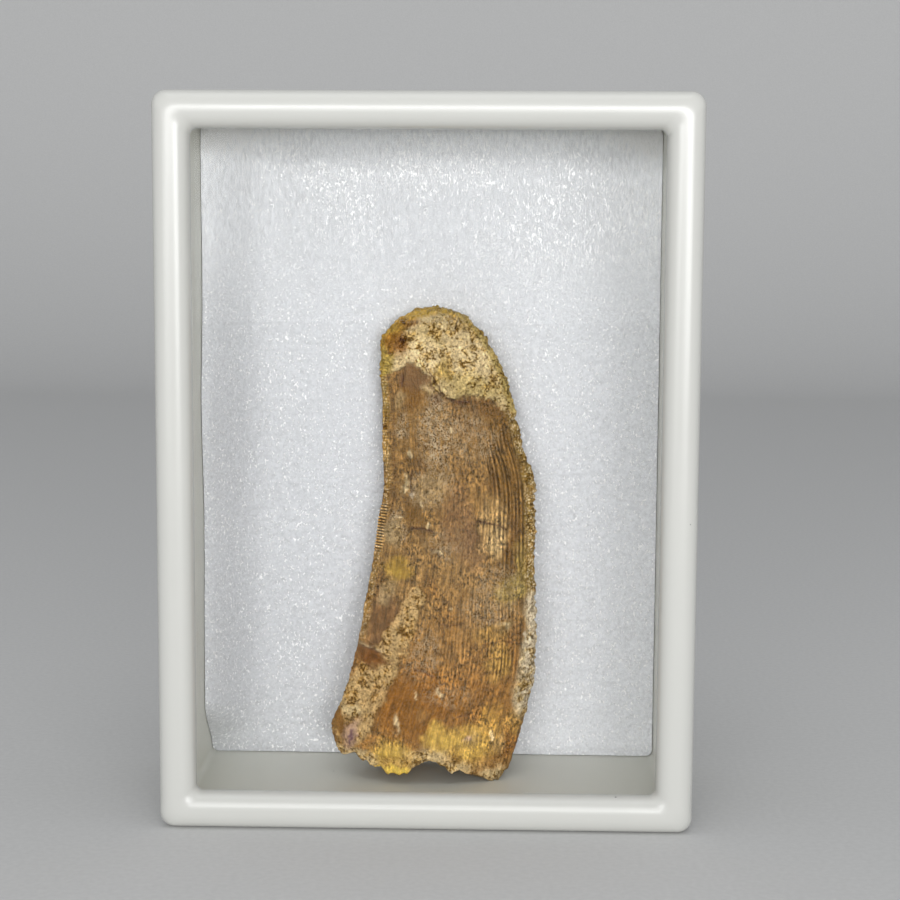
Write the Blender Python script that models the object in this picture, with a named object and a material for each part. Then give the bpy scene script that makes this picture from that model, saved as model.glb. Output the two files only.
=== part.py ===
"""Fossil dinosaur tooth standing in a small white plastic display case.

The case is a lid frame with a clear window pane, and a deep tray with a foam pad
against its back. The tooth stands on the tray's bottom wall and leans on the pad.
All sizes are in millimetres here, and the meshes are made in metres.
The origin is the middle of the underside: X to the right, Y to the back, Z up.
"""

import math

import bmesh
import bpy
import numpy as np
from mathutils import Vector, noise

MM = 0.001

# Display case
CASE_WIDTH = 95.0
CASE_HEIGHT = 130.0
CASE_DEPTH = 46.0
CASE_FRONT = -CASE_DEPTH / 2
CASE_REAR = CASE_DEPTH / 2
FIT_GAP = 0.3
CORNER_STEPS = 5

# Lid: a skirt with a rounded front border around the window
LID_BORDER = 6.6
LID_WALL = 1.9
LID_OUTER_RADIUS = 2.6
LID_INNER_RADIUS = 1.2
BORDER_RISE = 3.0
BORDER_FULLNESS = 2.3
BORDER_STEPS = 12
PARTING_Y = 11.0
PARTING_CHAMFER = 0.25

# Window pane, held between the lid's border and the tray's rim
PANE_THICKNESS = 1.6
RIM_RADIUS = 1.4

# Tray: a rim that slides into the lid, and a back plate with a raised edge outside
TRAY_WALL = 1.9
TRAY_INSIDE_INSET = LID_WALL + FIT_GAP + TRAY_WALL
TRAY_INSIDE_RADIUS = 1.2
TRAY_BACK_INSIDE = 20.2
TRAY_BACK_RECESS = 0.8
TRAY_EDGE_WIDTH = 4.2
TRAY_EDGE_SLOPE = 0.6
TRAY_EDGE_ROUND = 0.9
ROUND_MIDDLE = 0.3

# Foam pad
PAD_FRONT = 13.4
PAD_EDGE_ROUND = 2.2
PAD_EDGE_DROP = 1.4
PAD_FIRST_STEP = 0.4
PAD_CORNER_RADIUS = 2.0
PAD_WAVE = 0.25
PAD_WAVE_LENGTH = 24.0
PAD_COLUMNS = 20
PAD_ROWS = 28
DENT_CENTRE = (3.0, 82.0)
DENT_REACH = (16.0, 17.0)
DENT_DEPTH = 2.3

# Tooth: edges seen from the front as (x, z), from the root up to the tip
TOOTH_LEFT_EDGE = (
    (-17.0, 8.0), (-18.6, 13.0), (-16.8, 18.0), (-14.6, 25.0), (-13.3, 31.0), (-12.4, 36.5),
    (-11.0, 44.5), (-10.2, 51.0), (-9.1, 58.0), (-9.4, 65.0), (-9.5, 73.0), (-10.0, 80.0),
    (-9.9, 85.2), (-8.6, 87.6), (-6.4, 89.8), (-3.4, 91.5), (0.2, 92.1),
)
TOOTH_RIGHT_EDGE = (
    (15.3, 6.6), (16.6, 10.5), (18.6, 17.5), (19.8, 23.0), (20.1, 30.0), (19.8, 38.0),
    (19.7, 46.0), (19.6, 54.0), (18.9, 61.0), (17.2, 66.5), (16.2, 71.5), (14.5, 77.5),
    (12.1, 82.8), (9.6, 86.8), (6.8, 89.8), (3.6, 91.4), (0.2, 92.1),
)
# Broken lower edge of the root, on the front and on the back, from left to right
ROOT_FRONT_EDGE = (
    (-17.0, 8.6), (-13.7, 8.9), (-10.0, 7.2), (-5.5, 6.2), (-2.8, 6.9), (-0.2, 8.6),
    (2.0, 7.9), (5.0, 6.6), (8.6, 5.7), (11.0, 4.7), (12.3, 4.45), (13.7, 4.8), (15.3, 6.6),
)
ROOT_BACK_EDGE = ((-17.0, 8.6), (-12.0, 6.4), (-6.0, 4.5), (0.0, 5.2), (9.0, 5.6), (15.3, 6.6))
ROOT_LEVEL = 6.5
ROOT_BLEND_TOP = 20.0
# Half thickness of the tooth and the height that it belongs to
TOOTH_HALF_THICKNESS = (
    (6.9, 4.0), (7.4, 12.0), (7.2, 25.0), (6.4, 45.0), (5.4, 62.0), (4.7, 75.0),
    (4.0, 84.0), (3.1, 88.6), (2.0, 90.8), (1.0, 91.7), (0.0, 92.1),
)
TOOTH_LEAN_FOOT = (-0.5, 5.0)
TOOTH_LEAN_TIP = (10.6, 88.0)
CROWN_PEAK, ROOT_PEAK = 1.3, 1.05
CROWN_FULLNESS, ROOT_FULLNESS = 0.72, 0.55
CROWN_LEVEL = 32.0
ROW_STEP = 1.28
TIP_LEVELS = (86.6, 88.0, 89.2, 90.2, 90.9, 91.4, 91.8)
FRONT_COLUMNS = 28
BACK_COLUMNS = 14
EDGE_CLUSTER = 0.5

# Saw teeth along the left edge
DENTICLES_PER_ROW = 5
DENTICLE_RANGE = (43.0, 84.0)
DENTICLE_FADE = 3.0
DENTICLE_HEIGHT = 0.3

# Relief of the tooth's faces
CAP_BORDER = (
    (-12.0, 76.5), (-7.5, 80.3), (-4.0, 81.4), (-1.0, 80.0), (0.6, 77.0), (2.4, 75.2),
    (9.0, 75.0), (13.2, 73.7), (18.0, 70.5),
)
CAP_RISE = 0.75
CAP_LEDGE = 1.4
CAP_LUMP = 0.7
CAP_LUMP_SIZE = 3.0
FLUTE_START = 0.6
FLUTE_COUNT = 4
FLUTE_DEPTH = 0.4
FLUTE_RANGE = (22.0, 74.0)
FLUTE_FADE = 6.0
EDGE_GROOVE_SHARE = 0.14
EDGE_GROOVE_WIDTH = 0.05
EDGE_GROOVE_DEPTH = 0.35
EDGE_GROOVE_RANGE = (44.0, 86.0)
EDGE_GROOVE_FADE = 5.0
# Band where the enamel is broken away: x, z and half width along its middle line
BROKEN_BAND = ((-2.0, 39.0, 1.8), (-7.0, 28.5, 2.8), (-12.0, 20.5, 4.4), (-15.0, 14.0, 4.2))
BROKEN_DEPTH = 0.85
BROKEN_FLOOR, BROKEN_LIP = 0.6, 1.2
# Places that stand out or lie deeper: middle x and z, half width, half height, rise
PATCHES = (
    (-10.8, 27.9, 2.6, 1.7, 1.1),
    (11.8, 51.3, 2.8, 5.3, -0.45),
    (12.8, 28.2, 3.4, 2.9, 0.45),
    (3.0, 9.8, 2.8, 2.4, 0.6),
    (-5.6, 8.6, 3.0, 2.2, 0.5),
    (17.5, 20.5, 2.2, 3.4, 0.5),
)
ROOT_LUMP = 0.55
ROOT_LUMP_SIZE = 4.5
ROOT_LUMP_TOP = 24.0
BACK_NOISE_SHIFT = 40.0
# Relief fades out towards both edges, over this part of the section's height
EDGE_CALM = 1 / 3
# Hollow in the broken underside of the root: size of each ring and its rise
SOCKET_RINGS = ((0.78, 0.9), (0.48, 2.2))
SOCKET_TOP = 2.6

# Colours, as linear values
OFF_WHITE = (0.80, 0.80, 0.74)
CLEAR = (0.97, 0.98, 0.98)
FOAM_WHITE = (0.82, 0.83, 0.85)
FOSSIL_BROWN = (0.30, 0.17, 0.07)
PLASTIC_IOR = 1.49


def smooth_curve(points, steps=12):
    """A smooth curve through the given points, as an array of its sampled points."""
    points = np.array(points, dtype=float)
    padded = np.vstack([2 * points[0] - points[1], points, 2 * points[-1] - points[-2]])
    t = np.linspace(0.0, 1.0, steps, endpoint=False)[:, None]
    pieces = []
    for a, b, c, d in zip(padded, padded[1:], padded[2:], padded[3:]):
        pieces.append(0.5 * (2 * b + (c - a) * t + (2 * a - 5 * b + 4 * c - d) * t**2
                             + (3 * b - a - 3 * c + d) * t**3))
    return np.vstack(pieces + [points[-1:]])


def height_table(points):
    """A lookup of the first value by the second, height, for a list of pairs."""
    curve = smooth_curve(points)
    return lambda z: float(np.interp(z, curve[:, 1], curve[:, 0]))


def across_table(points):
    """A lookup of the second value by the first, x, for a list of pairs."""
    curve = smooth_curve(points)
    return lambda x: float(np.interp(x, curve[:, 0], curve[:, 1]))


def smoothstep(low, high, value):
    t = min(max((value - low) / (high - low), 0.0), 1.0)
    return t * t * (3 - 2 * t)


def window(span, fade, value):
    """1 inside a span and 0 outside it, with a smooth change at both ends."""
    low, high = span
    return smoothstep(low, low + fade, value) * (1 - smoothstep(high - fade, high, value))


def lump(x, y, z, size):
    """Smooth noise between about -1 and 1 whose lumps are about this size."""
    return noise.noise(Vector((x / size, y / size, z / size)))


def make_object(name, points, faces, material, smooth_angle=None):
    """One closed mesh object from points in millimetres."""
    mesh = bpy.data.meshes.new(name)
    mesh.from_pydata([(x * MM, y * MM, z * MM) for x, y, z in points], [], faces)
    shell = bmesh.new()
    shell.from_mesh(mesh)
    bmesh.ops.recalc_face_normals(shell, faces=shell.faces)
    shell.to_mesh(mesh)
    shell.free()
    if smooth_angle is not None:
        mesh.shade_smooth()
        mesh.set_sharp_from_angle(angle=math.radians(smooth_angle))
    mesh.materials.append(material)
    node = bpy.data.objects.new(name, mesh)
    bpy.context.collection.objects.link(node)
    return node


def make_material(name, colour, roughness, transmission=0.0):
    material = bpy.data.materials.new(name)
    material.use_nodes = True
    shader = material.node_tree.nodes["Principled BSDF"]
    shader.inputs["Base Color"].default_value = (*colour, 1.0)
    shader.inputs["Roughness"].default_value = roughness
    shader.inputs["Metallic"].default_value = 0.0
    shader.inputs["Transmission Weight"].default_value = transmission
    shader.inputs["IOR"].default_value = PLASTIC_IOR
    return material


def case_loop(inset, y, radius):
    """A rounded rectangle this far inside the case's outline, at one depth."""
    half_width = CASE_WIDTH / 2 - inset
    low, high = inset, CASE_HEIGHT - inset
    centres = (
        (half_width - radius, high - radius), (radius - half_width, high - radius),
        (radius - half_width, low + radius), (half_width - radius, low + radius),
    )
    loop = []
    for quarter, (cx, cz) in enumerate(centres):
        for step in range(CORNER_STEPS + 1):
            angle = math.radians(90) * (quarter + step / CORNER_STEPS)
            loop.append((cx + radius * math.cos(angle), y, cz + radius * math.sin(angle)))
    return loop


def join_loops(loops, closed_profile):
    """Faces between loops of equal length, with end caps unless the profile closes."""
    count = len(loops[0])
    points = [point for loop in loops for point in loop]
    faces = []
    pairs = len(loops) if closed_profile else len(loops) - 1
    for row in range(pairs):
        here, there = row * count, (row + 1) % len(loops) * count
        for i in range(count):
            j = (i + 1) % count
            faces.append((here + i, here + j, there + j, there + i))
    if not closed_profile:
        faces.append(tuple(range(count)))
        faces.append(tuple(range(len(points) - count, len(points))))
    return points, faces


def border_profile():
    """The lid's rounded front border, from its outer foot over the crest to the window."""
    half = LID_BORDER / 2
    foot = CASE_FRONT + BORDER_RISE
    profile = []
    for step in range(BORDER_STEPS + 1):
        angle = math.pi * step / BORDER_STEPS
        across = math.copysign(abs(math.cos(angle)) ** (2 / BORDER_FULLNESS), math.cos(angle))
        rise = math.sin(angle) ** (2 / BORDER_FULLNESS)
        inset = half - half * across
        share = inset / LID_BORDER
        radius = LID_OUTER_RADIUS + share * (LID_INNER_RADIUS - LID_OUTER_RADIUS)
        profile.append((inset, foot - BORDER_RISE * rise, radius))
    return profile


def make_lid_frame(material):
    profile = border_profile() + [
        (LID_WALL, CASE_FRONT + BORDER_RISE, LID_INNER_RADIUS),
        (LID_WALL, PARTING_Y, LID_INNER_RADIUS),
        (PARTING_CHAMFER, PARTING_Y, LID_OUTER_RADIUS),
        (0.0, PARTING_Y - PARTING_CHAMFER, LID_OUTER_RADIUS),
    ]
    points, faces = join_loops([case_loop(*stop) for stop in profile], closed_profile=True)
    return make_object("lid_frame", points, faces, material, smooth_angle=40)


def make_window_pane(material):
    front = CASE_FRONT + BORDER_RISE + FIT_GAP
    inset = LID_WALL + FIT_GAP
    loops = [case_loop(inset, y, RIM_RADIUS) for y in (front, front + PANE_THICKNESS)]
    points, faces = join_loops(loops, closed_profile=False)
    return make_object("window_pane", points, faces, material)


def make_tray(material):
    rim_front = CASE_FRONT + BORDER_RISE + PANE_THICKNESS + 2 * FIT_GAP
    rim_inset = LID_WALL + FIT_GAP
    flange_front = PARTING_Y + FIT_GAP
    chamfer = PARTING_CHAMFER
    recess_y = CASE_REAR - TRAY_BACK_RECESS
    outer, inner = LID_OUTER_RADIUS, TRAY_INSIDE_RADIUS
    profile = [
        (TRAY_EDGE_WIDTH + TRAY_EDGE_SLOPE, recess_y, inner),
        (TRAY_EDGE_WIDTH, CASE_REAR, inner),
        (TRAY_EDGE_ROUND, CASE_REAR, outer),
        (TRAY_EDGE_ROUND * ROUND_MIDDLE, CASE_REAR - TRAY_EDGE_ROUND * ROUND_MIDDLE, outer),
        (0.0, CASE_REAR - TRAY_EDGE_ROUND, outer),
        (0.0, flange_front + chamfer, outer),
        (chamfer, flange_front, outer),
        (rim_inset, flange_front, RIM_RADIUS),
        (rim_inset, rim_front + chamfer, RIM_RADIUS),
        (rim_inset + chamfer, rim_front, RIM_RADIUS),
        (TRAY_INSIDE_INSET - chamfer, rim_front, inner),
        (TRAY_INSIDE_INSET, rim_front + chamfer, inner),
        (TRAY_INSIDE_INSET, TRAY_BACK_INSIDE, inner),
    ]
    points, faces = join_loops([case_loop(*stop) for stop in profile], closed_profile=False)
    return make_object("tray", points, faces, material, smooth_angle=40)


def pad_front(x, z):
    """Depth of the foam's front face: rounded edges, slow waves and the tooth's dent."""
    half_width = CASE_WIDTH / 2 - TRAY_INSIDE_INSET - FIT_GAP
    half_height = CASE_HEIGHT / 2 - TRAY_INSIDE_INSET - FIT_GAP
    edge = min(half_width - abs(x), half_height - abs(z - CASE_HEIGHT / 2))
    near_edge = max(1 - edge / PAD_EDGE_ROUND, 0.0)
    dent_x = (x - DENT_CENTRE[0]) / DENT_REACH[0]
    dent_z = (z - DENT_CENTRE[1]) / DENT_REACH[1]
    dent = DENT_DEPTH * math.exp(-dent_x**2 - dent_z**2)
    wave = PAD_WAVE * lump(x, 0, z, PAD_WAVE_LENGTH)
    return PAD_FRONT + PAD_EDGE_DROP * near_edge**2 + wave + dent


def make_foam_pad(material):
    half_width = CASE_WIDTH / 2 - TRAY_INSIDE_INSET - FIT_GAP
    low = TRAY_INSIDE_INSET + FIT_GAP
    height = CASE_HEIGHT - 2 * low
    rear = TRAY_BACK_INSIDE - FIT_GAP

    def stations(count, first, length):
        """Places along a side, with one close to each end for the rounded edge."""
        even = np.linspace(PAD_EDGE_ROUND, length - PAD_EDGE_ROUND, count - 3)
        near = PAD_EDGE_ROUND * PAD_FIRST_STEP
        return first + np.array([0.0, near, *even, length - near, length])

    def in_corner(x, z):
        """The place moved inwards where it would stand outside a rounded corner."""
        middle = CASE_HEIGHT / 2
        reach_x = abs(x) - (half_width - PAD_CORNER_RADIUS)
        reach_z = abs(z - middle) - (height / 2 - PAD_CORNER_RADIUS)
        if reach_x <= 0 or reach_z <= 0:
            return x, z
        excess = 1 - min(PAD_CORNER_RADIUS / math.hypot(reach_x, reach_z), 1.0)
        return (x - math.copysign(reach_x * excess, x),
                z - math.copysign(reach_z * excess, z - middle))

    xs = stations(PAD_COLUMNS, -half_width, 2 * half_width)
    zs = stations(PAD_ROWS, low, height)
    places = [in_corner(x, z) for z in zs for x in xs]
    points = [(x, pad_front(x, z), z) for x, z in places]
    across, up = len(xs), len(zs)
    faces = []
    for row in range(up - 1):
        for i in range(across - 1):
            a = row * across + i
            faces.append((a, a + 1, a + across + 1, a + across))
    rim = list(range(across))
    rim += [row * across + across - 1 for row in range(1, up)]
    rim += [(up - 1) * across + i for i in range(across - 2, -1, -1)]
    rim += [row * across for row in range(up - 2, 0, -1)]
    start = len(points)
    points += [(points[i][0], rear, points[i][2]) for i in rim]
    for k, front_point in enumerate(rim):
        after = (k + 1) % len(rim)
        faces.append((front_point, rim[after], start + after, start + k))
    faces.append(tuple(range(start, start + len(rim))))
    return make_object("foam_pad", points, faces, material, smooth_angle=50)


left_edge = height_table(TOOTH_LEFT_EDGE)
right_edge = height_table(TOOTH_RIGHT_EDGE)
front_foot = across_table(ROOT_FRONT_EDGE)
back_foot = across_table(ROOT_BACK_EDGE)
cap_border = across_table(CAP_BORDER)
half_thickness = height_table(TOOTH_HALF_THICKNESS)


def middle_depth(z):
    """Depth of the tooth's middle plane, which leans back from the foot to the tip."""
    (foot_y, foot_z), (tip_y, tip_z) = TOOTH_LEAN_FOOT, TOOTH_LEAN_TIP
    return foot_y + (tip_y - foot_y) * (z - foot_z) / (tip_z - foot_z)


def band_depth(x, z):
    """How far inside the broken band a place is: 1 on its middle line, 0 outside it."""
    here = np.array((x, z))
    inside = 0.0
    for (ax, az, a_half), (bx, bz, b_half) in zip(BROKEN_BAND, BROKEN_BAND[1:]):
        start, run = np.array((ax, az)), np.array((bx - ax, bz - az))
        t = float(np.clip(np.dot(here - start, run) / np.dot(run, run), 0.0, 1.0))
        distance = float(np.linalg.norm(here - start - t * run))
        half = a_half + t * (b_half - a_half)
        inside = max(inside, 1 - smoothstep(half * BROKEN_FLOOR, half * BROKEN_LIP, distance))
    return inside


def relief(share, x, z, on_front):
    """Height of the tooth's surface over its plain lens form, outwards."""
    side = 0.0 if on_front else BACK_NOISE_SHIFT
    on_cap = smoothstep(-CAP_LEDGE / 2, CAP_LEDGE / 2, z - cap_border(x))
    height = on_cap * (CAP_RISE + CAP_LUMP * lump(x, side, z, CAP_LUMP_SIZE))
    on_root = 1 - smoothstep(ROOT_LUMP_TOP * 0.5, ROOT_LUMP_TOP, z)
    height += on_root * ROOT_LUMP * lump(x, side, z, ROOT_LUMP_SIZE)
    if share > FLUTE_START:
        turns = FLUTE_COUNT * (share - FLUTE_START) / (1 - FLUTE_START)
        height -= window(FLUTE_RANGE, FLUTE_FADE, z) * FLUTE_DEPTH * math.sin(math.pi * turns) ** 2
    off_groove = (share - EDGE_GROOVE_SHARE) / EDGE_GROOVE_WIDTH
    groove = window(EDGE_GROOVE_RANGE, EDGE_GROOVE_FADE, z) * math.exp(-(off_groove**2))
    height -= EDGE_GROOVE_DEPTH * groove
    if on_front:
        height -= BROKEN_DEPTH * band_depth(x, z)
        for middle_x, middle_z, half_width, half_height, rise in PATCHES:
            away = ((x - middle_x) / half_width) ** 2 + ((z - middle_z) / half_height) ** 2
            height += rise * math.exp(-(away**2))
    return height


def surface_point(share, level, on_front):
    """A point of the tooth: share runs from the left edge to the right one."""
    foot = front_foot if on_front else back_foot
    foot_x = TOOTH_LEFT_EDGE[0][0] + share * (TOOTH_RIGHT_EDGE[0][0] - TOOTH_LEFT_EDGE[0][0])
    fade = max(1 - (level - ROOT_LEVEL) / (ROOT_BLEND_TOP - ROOT_LEVEL), 0.0) ** 2
    z = level + fade * (foot(foot_x) - ROOT_LEVEL)
    z_left = level + fade * (foot(TOOTH_LEFT_EDGE[0][0]) - ROOT_LEVEL)
    z_right = level + fade * (foot(TOOTH_RIGHT_EDGE[0][0]) - ROOT_LEVEL)
    x_left, x_right = left_edge(z_left), right_edge(z_right)
    x = x_left + share * (x_right - x_left)
    rooted = 1 - smoothstep(ROOT_LEVEL, CROWN_LEVEL, level)
    peak = CROWN_PEAK + rooted * (ROOT_PEAK - CROWN_PEAK)
    fullness = CROWN_FULLNESS + rooted * (ROOT_FULLNESS - CROWN_FULLNESS)
    section = max(math.sin(math.pi * share**peak), 0.0) ** fullness
    out = half_thickness(level) * section
    out += relief(share, x, z, on_front) * min(section / EDGE_CALM, 1.0)
    y = middle_depth(z) + (-out if on_front else out)
    return (x, y, z)


def column_shares(count):
    """Shares from 0 to 1, closer together at both edges."""
    even = np.linspace(0.0, 1.0, count + 1)
    eased = 0.5 - 0.5 * np.cos(math.pi * even)
    return list(even + EDGE_CLUSTER * (eased - even))


def add_row(points, level):
    """Add one ring of points at a level, all but its point on the left edge."""
    ring = [surface_point(share, level, True) for share in column_shares(FRONT_COLUMNS)[1:]]
    ring += [surface_point(share, level, False) for share in column_shares(BACK_COLUMNS)[-2:0:-1]]
    row = list(range(len(points), len(points) + len(ring)))
    points += ring
    return row


def add_saw_edge(points, levels):
    """Add the left edge, finer than the rows, with every second point standing out."""
    runs = []
    for number, (low, high) in enumerate(zip(levels, levels[1:])):
        run = []
        for k in range(DENTICLES_PER_ROW):
            level = low + (high - low) * k / DENTICLES_PER_ROW
            x, y, z = surface_point(0.0, level, True)
            if (number * DENTICLES_PER_ROW + k) % 2:
                x -= DENTICLE_HEIGHT * window(DENTICLE_RANGE, DENTICLE_FADE, level)
            run.append(len(points))
            points.append((x, y, z))
        runs.append(run)
    runs.append([len(points)])
    points.append(surface_point(0.0, levels[-1], True))
    return runs


def edge_strip(lower, upper, run):
    """Triangles between two neighbouring points of a column and a finer edge run."""
    half = len(run) // 2
    faces = [(lower, run[k], run[k + 1]) for k in range(half)]
    faces.append((lower, run[half], upper))
    faces += [(upper, run[k], run[k + 1]) for k in range(half, len(run) - 1)]
    return faces


def close_ring(faces, ring, middle):
    """A fan of triangles from a ring to one middle point."""
    faces += [(a, b, middle) for a, b in zip(ring, ring[1:] + ring[:1])]


def close_foot(points, faces, ring):
    """The broken underside of the root: a shallow hollow inside the lower edge."""
    edge = np.array([points[i] for i in ring])
    centre = edge.mean(axis=0)
    for shrink, rise in SOCKET_RINGS:
        inner = list(range(len(points), len(points) + len(ring)))
        for x, y, z in edge:
            points.append((centre[0] + shrink * (x - centre[0]),
                           centre[1] + shrink * (y - centre[1]), z + rise))
        for i in range(len(ring)):
            faces.append((ring[i - 1], inner[i - 1], inner[i], ring[i]))
        ring = inner
    points.append(tuple(centre + np.array((0.0, 0.0, SOCKET_TOP))))
    close_ring(faces, ring, len(points) - 1)


def make_tooth(material):
    evenly = np.arange(ROOT_LEVEL, TIP_LEVELS[0] - ROW_STEP / 2, ROW_STEP)
    levels = [*evenly, *TIP_LEVELS]
    points, faces = [], []
    rows = [add_row(points, level) for level in levels]
    runs = add_saw_edge(points, levels)
    for number in range(len(levels) - 1):
        here, there = rows[number], rows[number + 1]
        faces += [(here[i], here[i + 1], there[i + 1], there[i]) for i in range(len(here) - 1)]
        run = runs[number] + runs[number + 1][:1]
        faces += edge_strip(here[0], there[0], run) + edge_strip(here[-1], there[-1], run)
    tip_x, tip_z = TOOTH_LEFT_EDGE[-1]
    points.append((tip_x, middle_depth(tip_z), tip_z))
    close_ring(faces, [runs[-1][0], *rows[-1]], len(points) - 1)
    close_foot(points, faces, [runs[0][0], *rows[0]])
    return make_object("tooth", points, faces, material, smooth_angle=60)


def main():
    for old in list(bpy.data.objects):
        bpy.data.objects.remove(old)
    make_lid_frame(make_material("lid_plastic", OFF_WHITE, roughness=0.28))
    make_window_pane(make_material("clear_pane", CLEAR, roughness=0.02, transmission=1.0))
    make_tray(make_material("tray_plastic", OFF_WHITE, roughness=0.35))
    make_foam_pad(make_material("white_foam", FOAM_WHITE, roughness=0.7))
    make_tooth(make_material("fossil_enamel", FOSSIL_BROWN, roughness=0.5))


main()
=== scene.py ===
"""Looks of a fossil dinosaur tooth in a small white display case.

The case, the foam and the tooth are made here as fine meshes over the plain solids,
from the same named sizes. Sizes are in millimetres, and meshes are made in metres.
"""

import math

import bpy
import numpy as np
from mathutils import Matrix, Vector, kdtree, noise


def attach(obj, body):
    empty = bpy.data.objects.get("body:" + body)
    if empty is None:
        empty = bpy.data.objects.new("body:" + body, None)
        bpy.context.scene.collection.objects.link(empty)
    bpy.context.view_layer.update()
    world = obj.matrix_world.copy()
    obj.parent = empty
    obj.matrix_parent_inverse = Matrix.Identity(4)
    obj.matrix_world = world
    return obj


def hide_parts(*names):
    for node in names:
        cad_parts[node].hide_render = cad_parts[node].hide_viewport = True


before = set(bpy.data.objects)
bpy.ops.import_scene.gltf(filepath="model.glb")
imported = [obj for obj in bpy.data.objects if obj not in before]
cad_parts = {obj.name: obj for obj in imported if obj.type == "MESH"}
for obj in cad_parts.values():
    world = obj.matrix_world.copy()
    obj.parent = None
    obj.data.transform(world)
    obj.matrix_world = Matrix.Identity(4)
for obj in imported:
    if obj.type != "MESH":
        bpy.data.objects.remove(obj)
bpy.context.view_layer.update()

MM = 0.001

# Stage, camera and lights: places in metres, turns in degrees, noise in lumps per metre
CAMERA_PLACE = (0.01141, -0.33244, 0.10358)
CAMERA_TURN = (83.53, -0.309, 1.379)
CAMERA_LENS = 72.0
CAMERA_SENSOR = 36.0
CAMERA_NEAR = 0.01
FLOOR_HALF_WIDTH = 2.0
FLOOR_FRONT = -1.6
SWEEP_START = 0.9
SWEEP_RADIUS = 0.4
SWEEP_STEPS = 24
PAPER_SCALE, PAPER_TONE = 900.0, 0.94
BACKDROP_HEIGHT = 1.6
LIGHT_TARGET = (0.0, 0.0, 0.065)
STAGE_COLOUR = (0.60, 0.60, 0.594, 1.0)
WORLD_COLOUR = (0.95, 0.97, 1.0, 1.0)
WORLD_STRENGTH = 0.46

# Lights: name, place, width, height, power in watts, and whether gloss shows them
LIGHTS = (
    ("key_light", (-0.06, -2.45, 0.44), 1.7, 0.30, 15.0, True),
    ("near_light", (0.02, -0.42, 0.179), 0.36, 0.056, 0.44, True),
    ("right_light", (0.82, -2.35, 0.16), 0.95, 0.5, 16.0, True),
    ("left_light", (-1.02, -2.30, 0.16), 0.95, 0.5, 5.5, True),
    ("top_light", (0.0, -0.22, 0.80), 0.6, 0.4, 0.9, True),
    ("low_light", (0.0, -2.60, 0.13), 3.0, 0.30, 11.5, False),
)

# Materials of the case and the foam: colours, and noise scales in lumps per metre
LID_COLOUR, LID_ROUGHNESS = (0.515, 0.515, 0.487), 0.25
# The tray is the same plastic as the lid, but its colour is painted paler and a little yellower:
# painted light, which lifts the shaded inside of the case
TRAY_COLOUR_WITH_PAINTED_LIGHT, TRAY_ROUGHNESS = (0.68, 0.68, 0.61), 0.40
NOISE_SPAN = (0.3, 0.7)
CLOUD_SCALE, CLOUD_TONE = 60.0, 0.985
SPECK_SCALE, SPECK_EDGE, SPECK_TONE = 90.0, (0.016, 0.022), 0.45
GLOSS_SCALE, GLOSS_SPREAD = 90.0, 0.02
SKIN_SCALE, SKIN_DEPTH, SKIN_STRENGTH = 500.0, 0.000006, 0.3
PANE_IOR = 1.18
PANE_COLOUR, PANE_CLEAR = (0.95, 0.955, 0.96, 1.0), (0.97, 0.97, 0.972, 1.0)
FOAM_SHADE, FOAM_PALE = (0.48, 0.488, 0.504, 1.0), (0.71, 0.722, 0.742, 1.0)
FOAM_LIMIT = (0.95, 0.95, 0.96, 1.0)
WHITE = (1.0, 1.0, 1.0, 1.0)

# Display case
CASE_WIDTH = 95.0
CASE_HEIGHT = 130.0
CASE_DEPTH = 46.0
CASE_FRONT = -CASE_DEPTH / 2
CASE_REAR = CASE_DEPTH / 2
FIT_GAP = 0.3
CORNER_STEPS = 14
LID_BORDER = 6.6
LID_WALL = 1.9
LID_OUTER_RADIUS = 2.6
LID_INNER_RADIUS = 1.2
BORDER_RISE = 3.0
BORDER_FULLNESS = 2.3
BORDER_STEPS = 30
PARTING_Y = 11.0
PARTING_CHAMFER = 0.25
PANE_THICKNESS = 1.6
RIM_RADIUS = 1.4
TRAY_WALL = 1.9
TRAY_INSIDE_INSET = LID_WALL + FIT_GAP + TRAY_WALL
TRAY_INSIDE_RADIUS = 1.2
TRAY_BACK_INSIDE = 20.2
TRAY_BACK_RECESS = 0.8
TRAY_EDGE_WIDTH = 4.2
TRAY_EDGE_SLOPE = 0.6
TRAY_EDGE_ROUND = 0.9
ROUND_STEPS = 8

# Foam pad
PAD_GAP = 0.12
PAD_REAR = 19.9
PAD_FRONT = 13.4
PAD_WAVE = 0.25
PAD_WAVE_LENGTH = 24.0
PAD_COLUMNS = 220
PAD_ROWS = 310
CURL_HEIGHT, CURL_REACH, CURL_FADE = 9.2, 6.5, 12.0
DENT_CENTRE = (3.0, 82.0)
DENT_REACH = (16.0, 17.0)
DENT_DEPTH = 2.3

# Noise over the foam: the size of its lumps, and a shift that sets it apart
CURL_LUMPS = (30.0, 0.0)
DRAWN_FOOT, DRAWN_LUMPS = (88.0, 112.0), (18.0, 3.0)
PAD_CELLS, PAD_LUMPS, PAD_STROKES = (1.1, 7.0), (2.5, 11.0), (0.8, 15.0)
PAD_CELL_HEIGHT, PAD_LUMP_HEIGHT, PAD_STROKE_HEIGHT = 0.16, 0.10, 0.14
PAD_STROKE_SHAPE = (1.0, 1.0, 0.3)

# Painted light and shade on the foam: a little darker where its cells are drawn out, painted
# lighter along its top and its sides where the border and walls shade it, lighter towards its lower
# right and darker towards its lower left
DRAWN_PAINTED_SHADE = 0.06
TOP_PAINTED_LIGHT, TOP_PAINTED_LIGHT_REACH = 0.56, 5.5
SIDE_PAINTED_LIGHT, DRAWN_SIDE_PAINTED_LIGHT, SIDE_PAINTED_LIGHT_REACH = 0.12, 0.30, 9.0
LOW_RIGHT_PAINTED_LIGHT = 0.13

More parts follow.
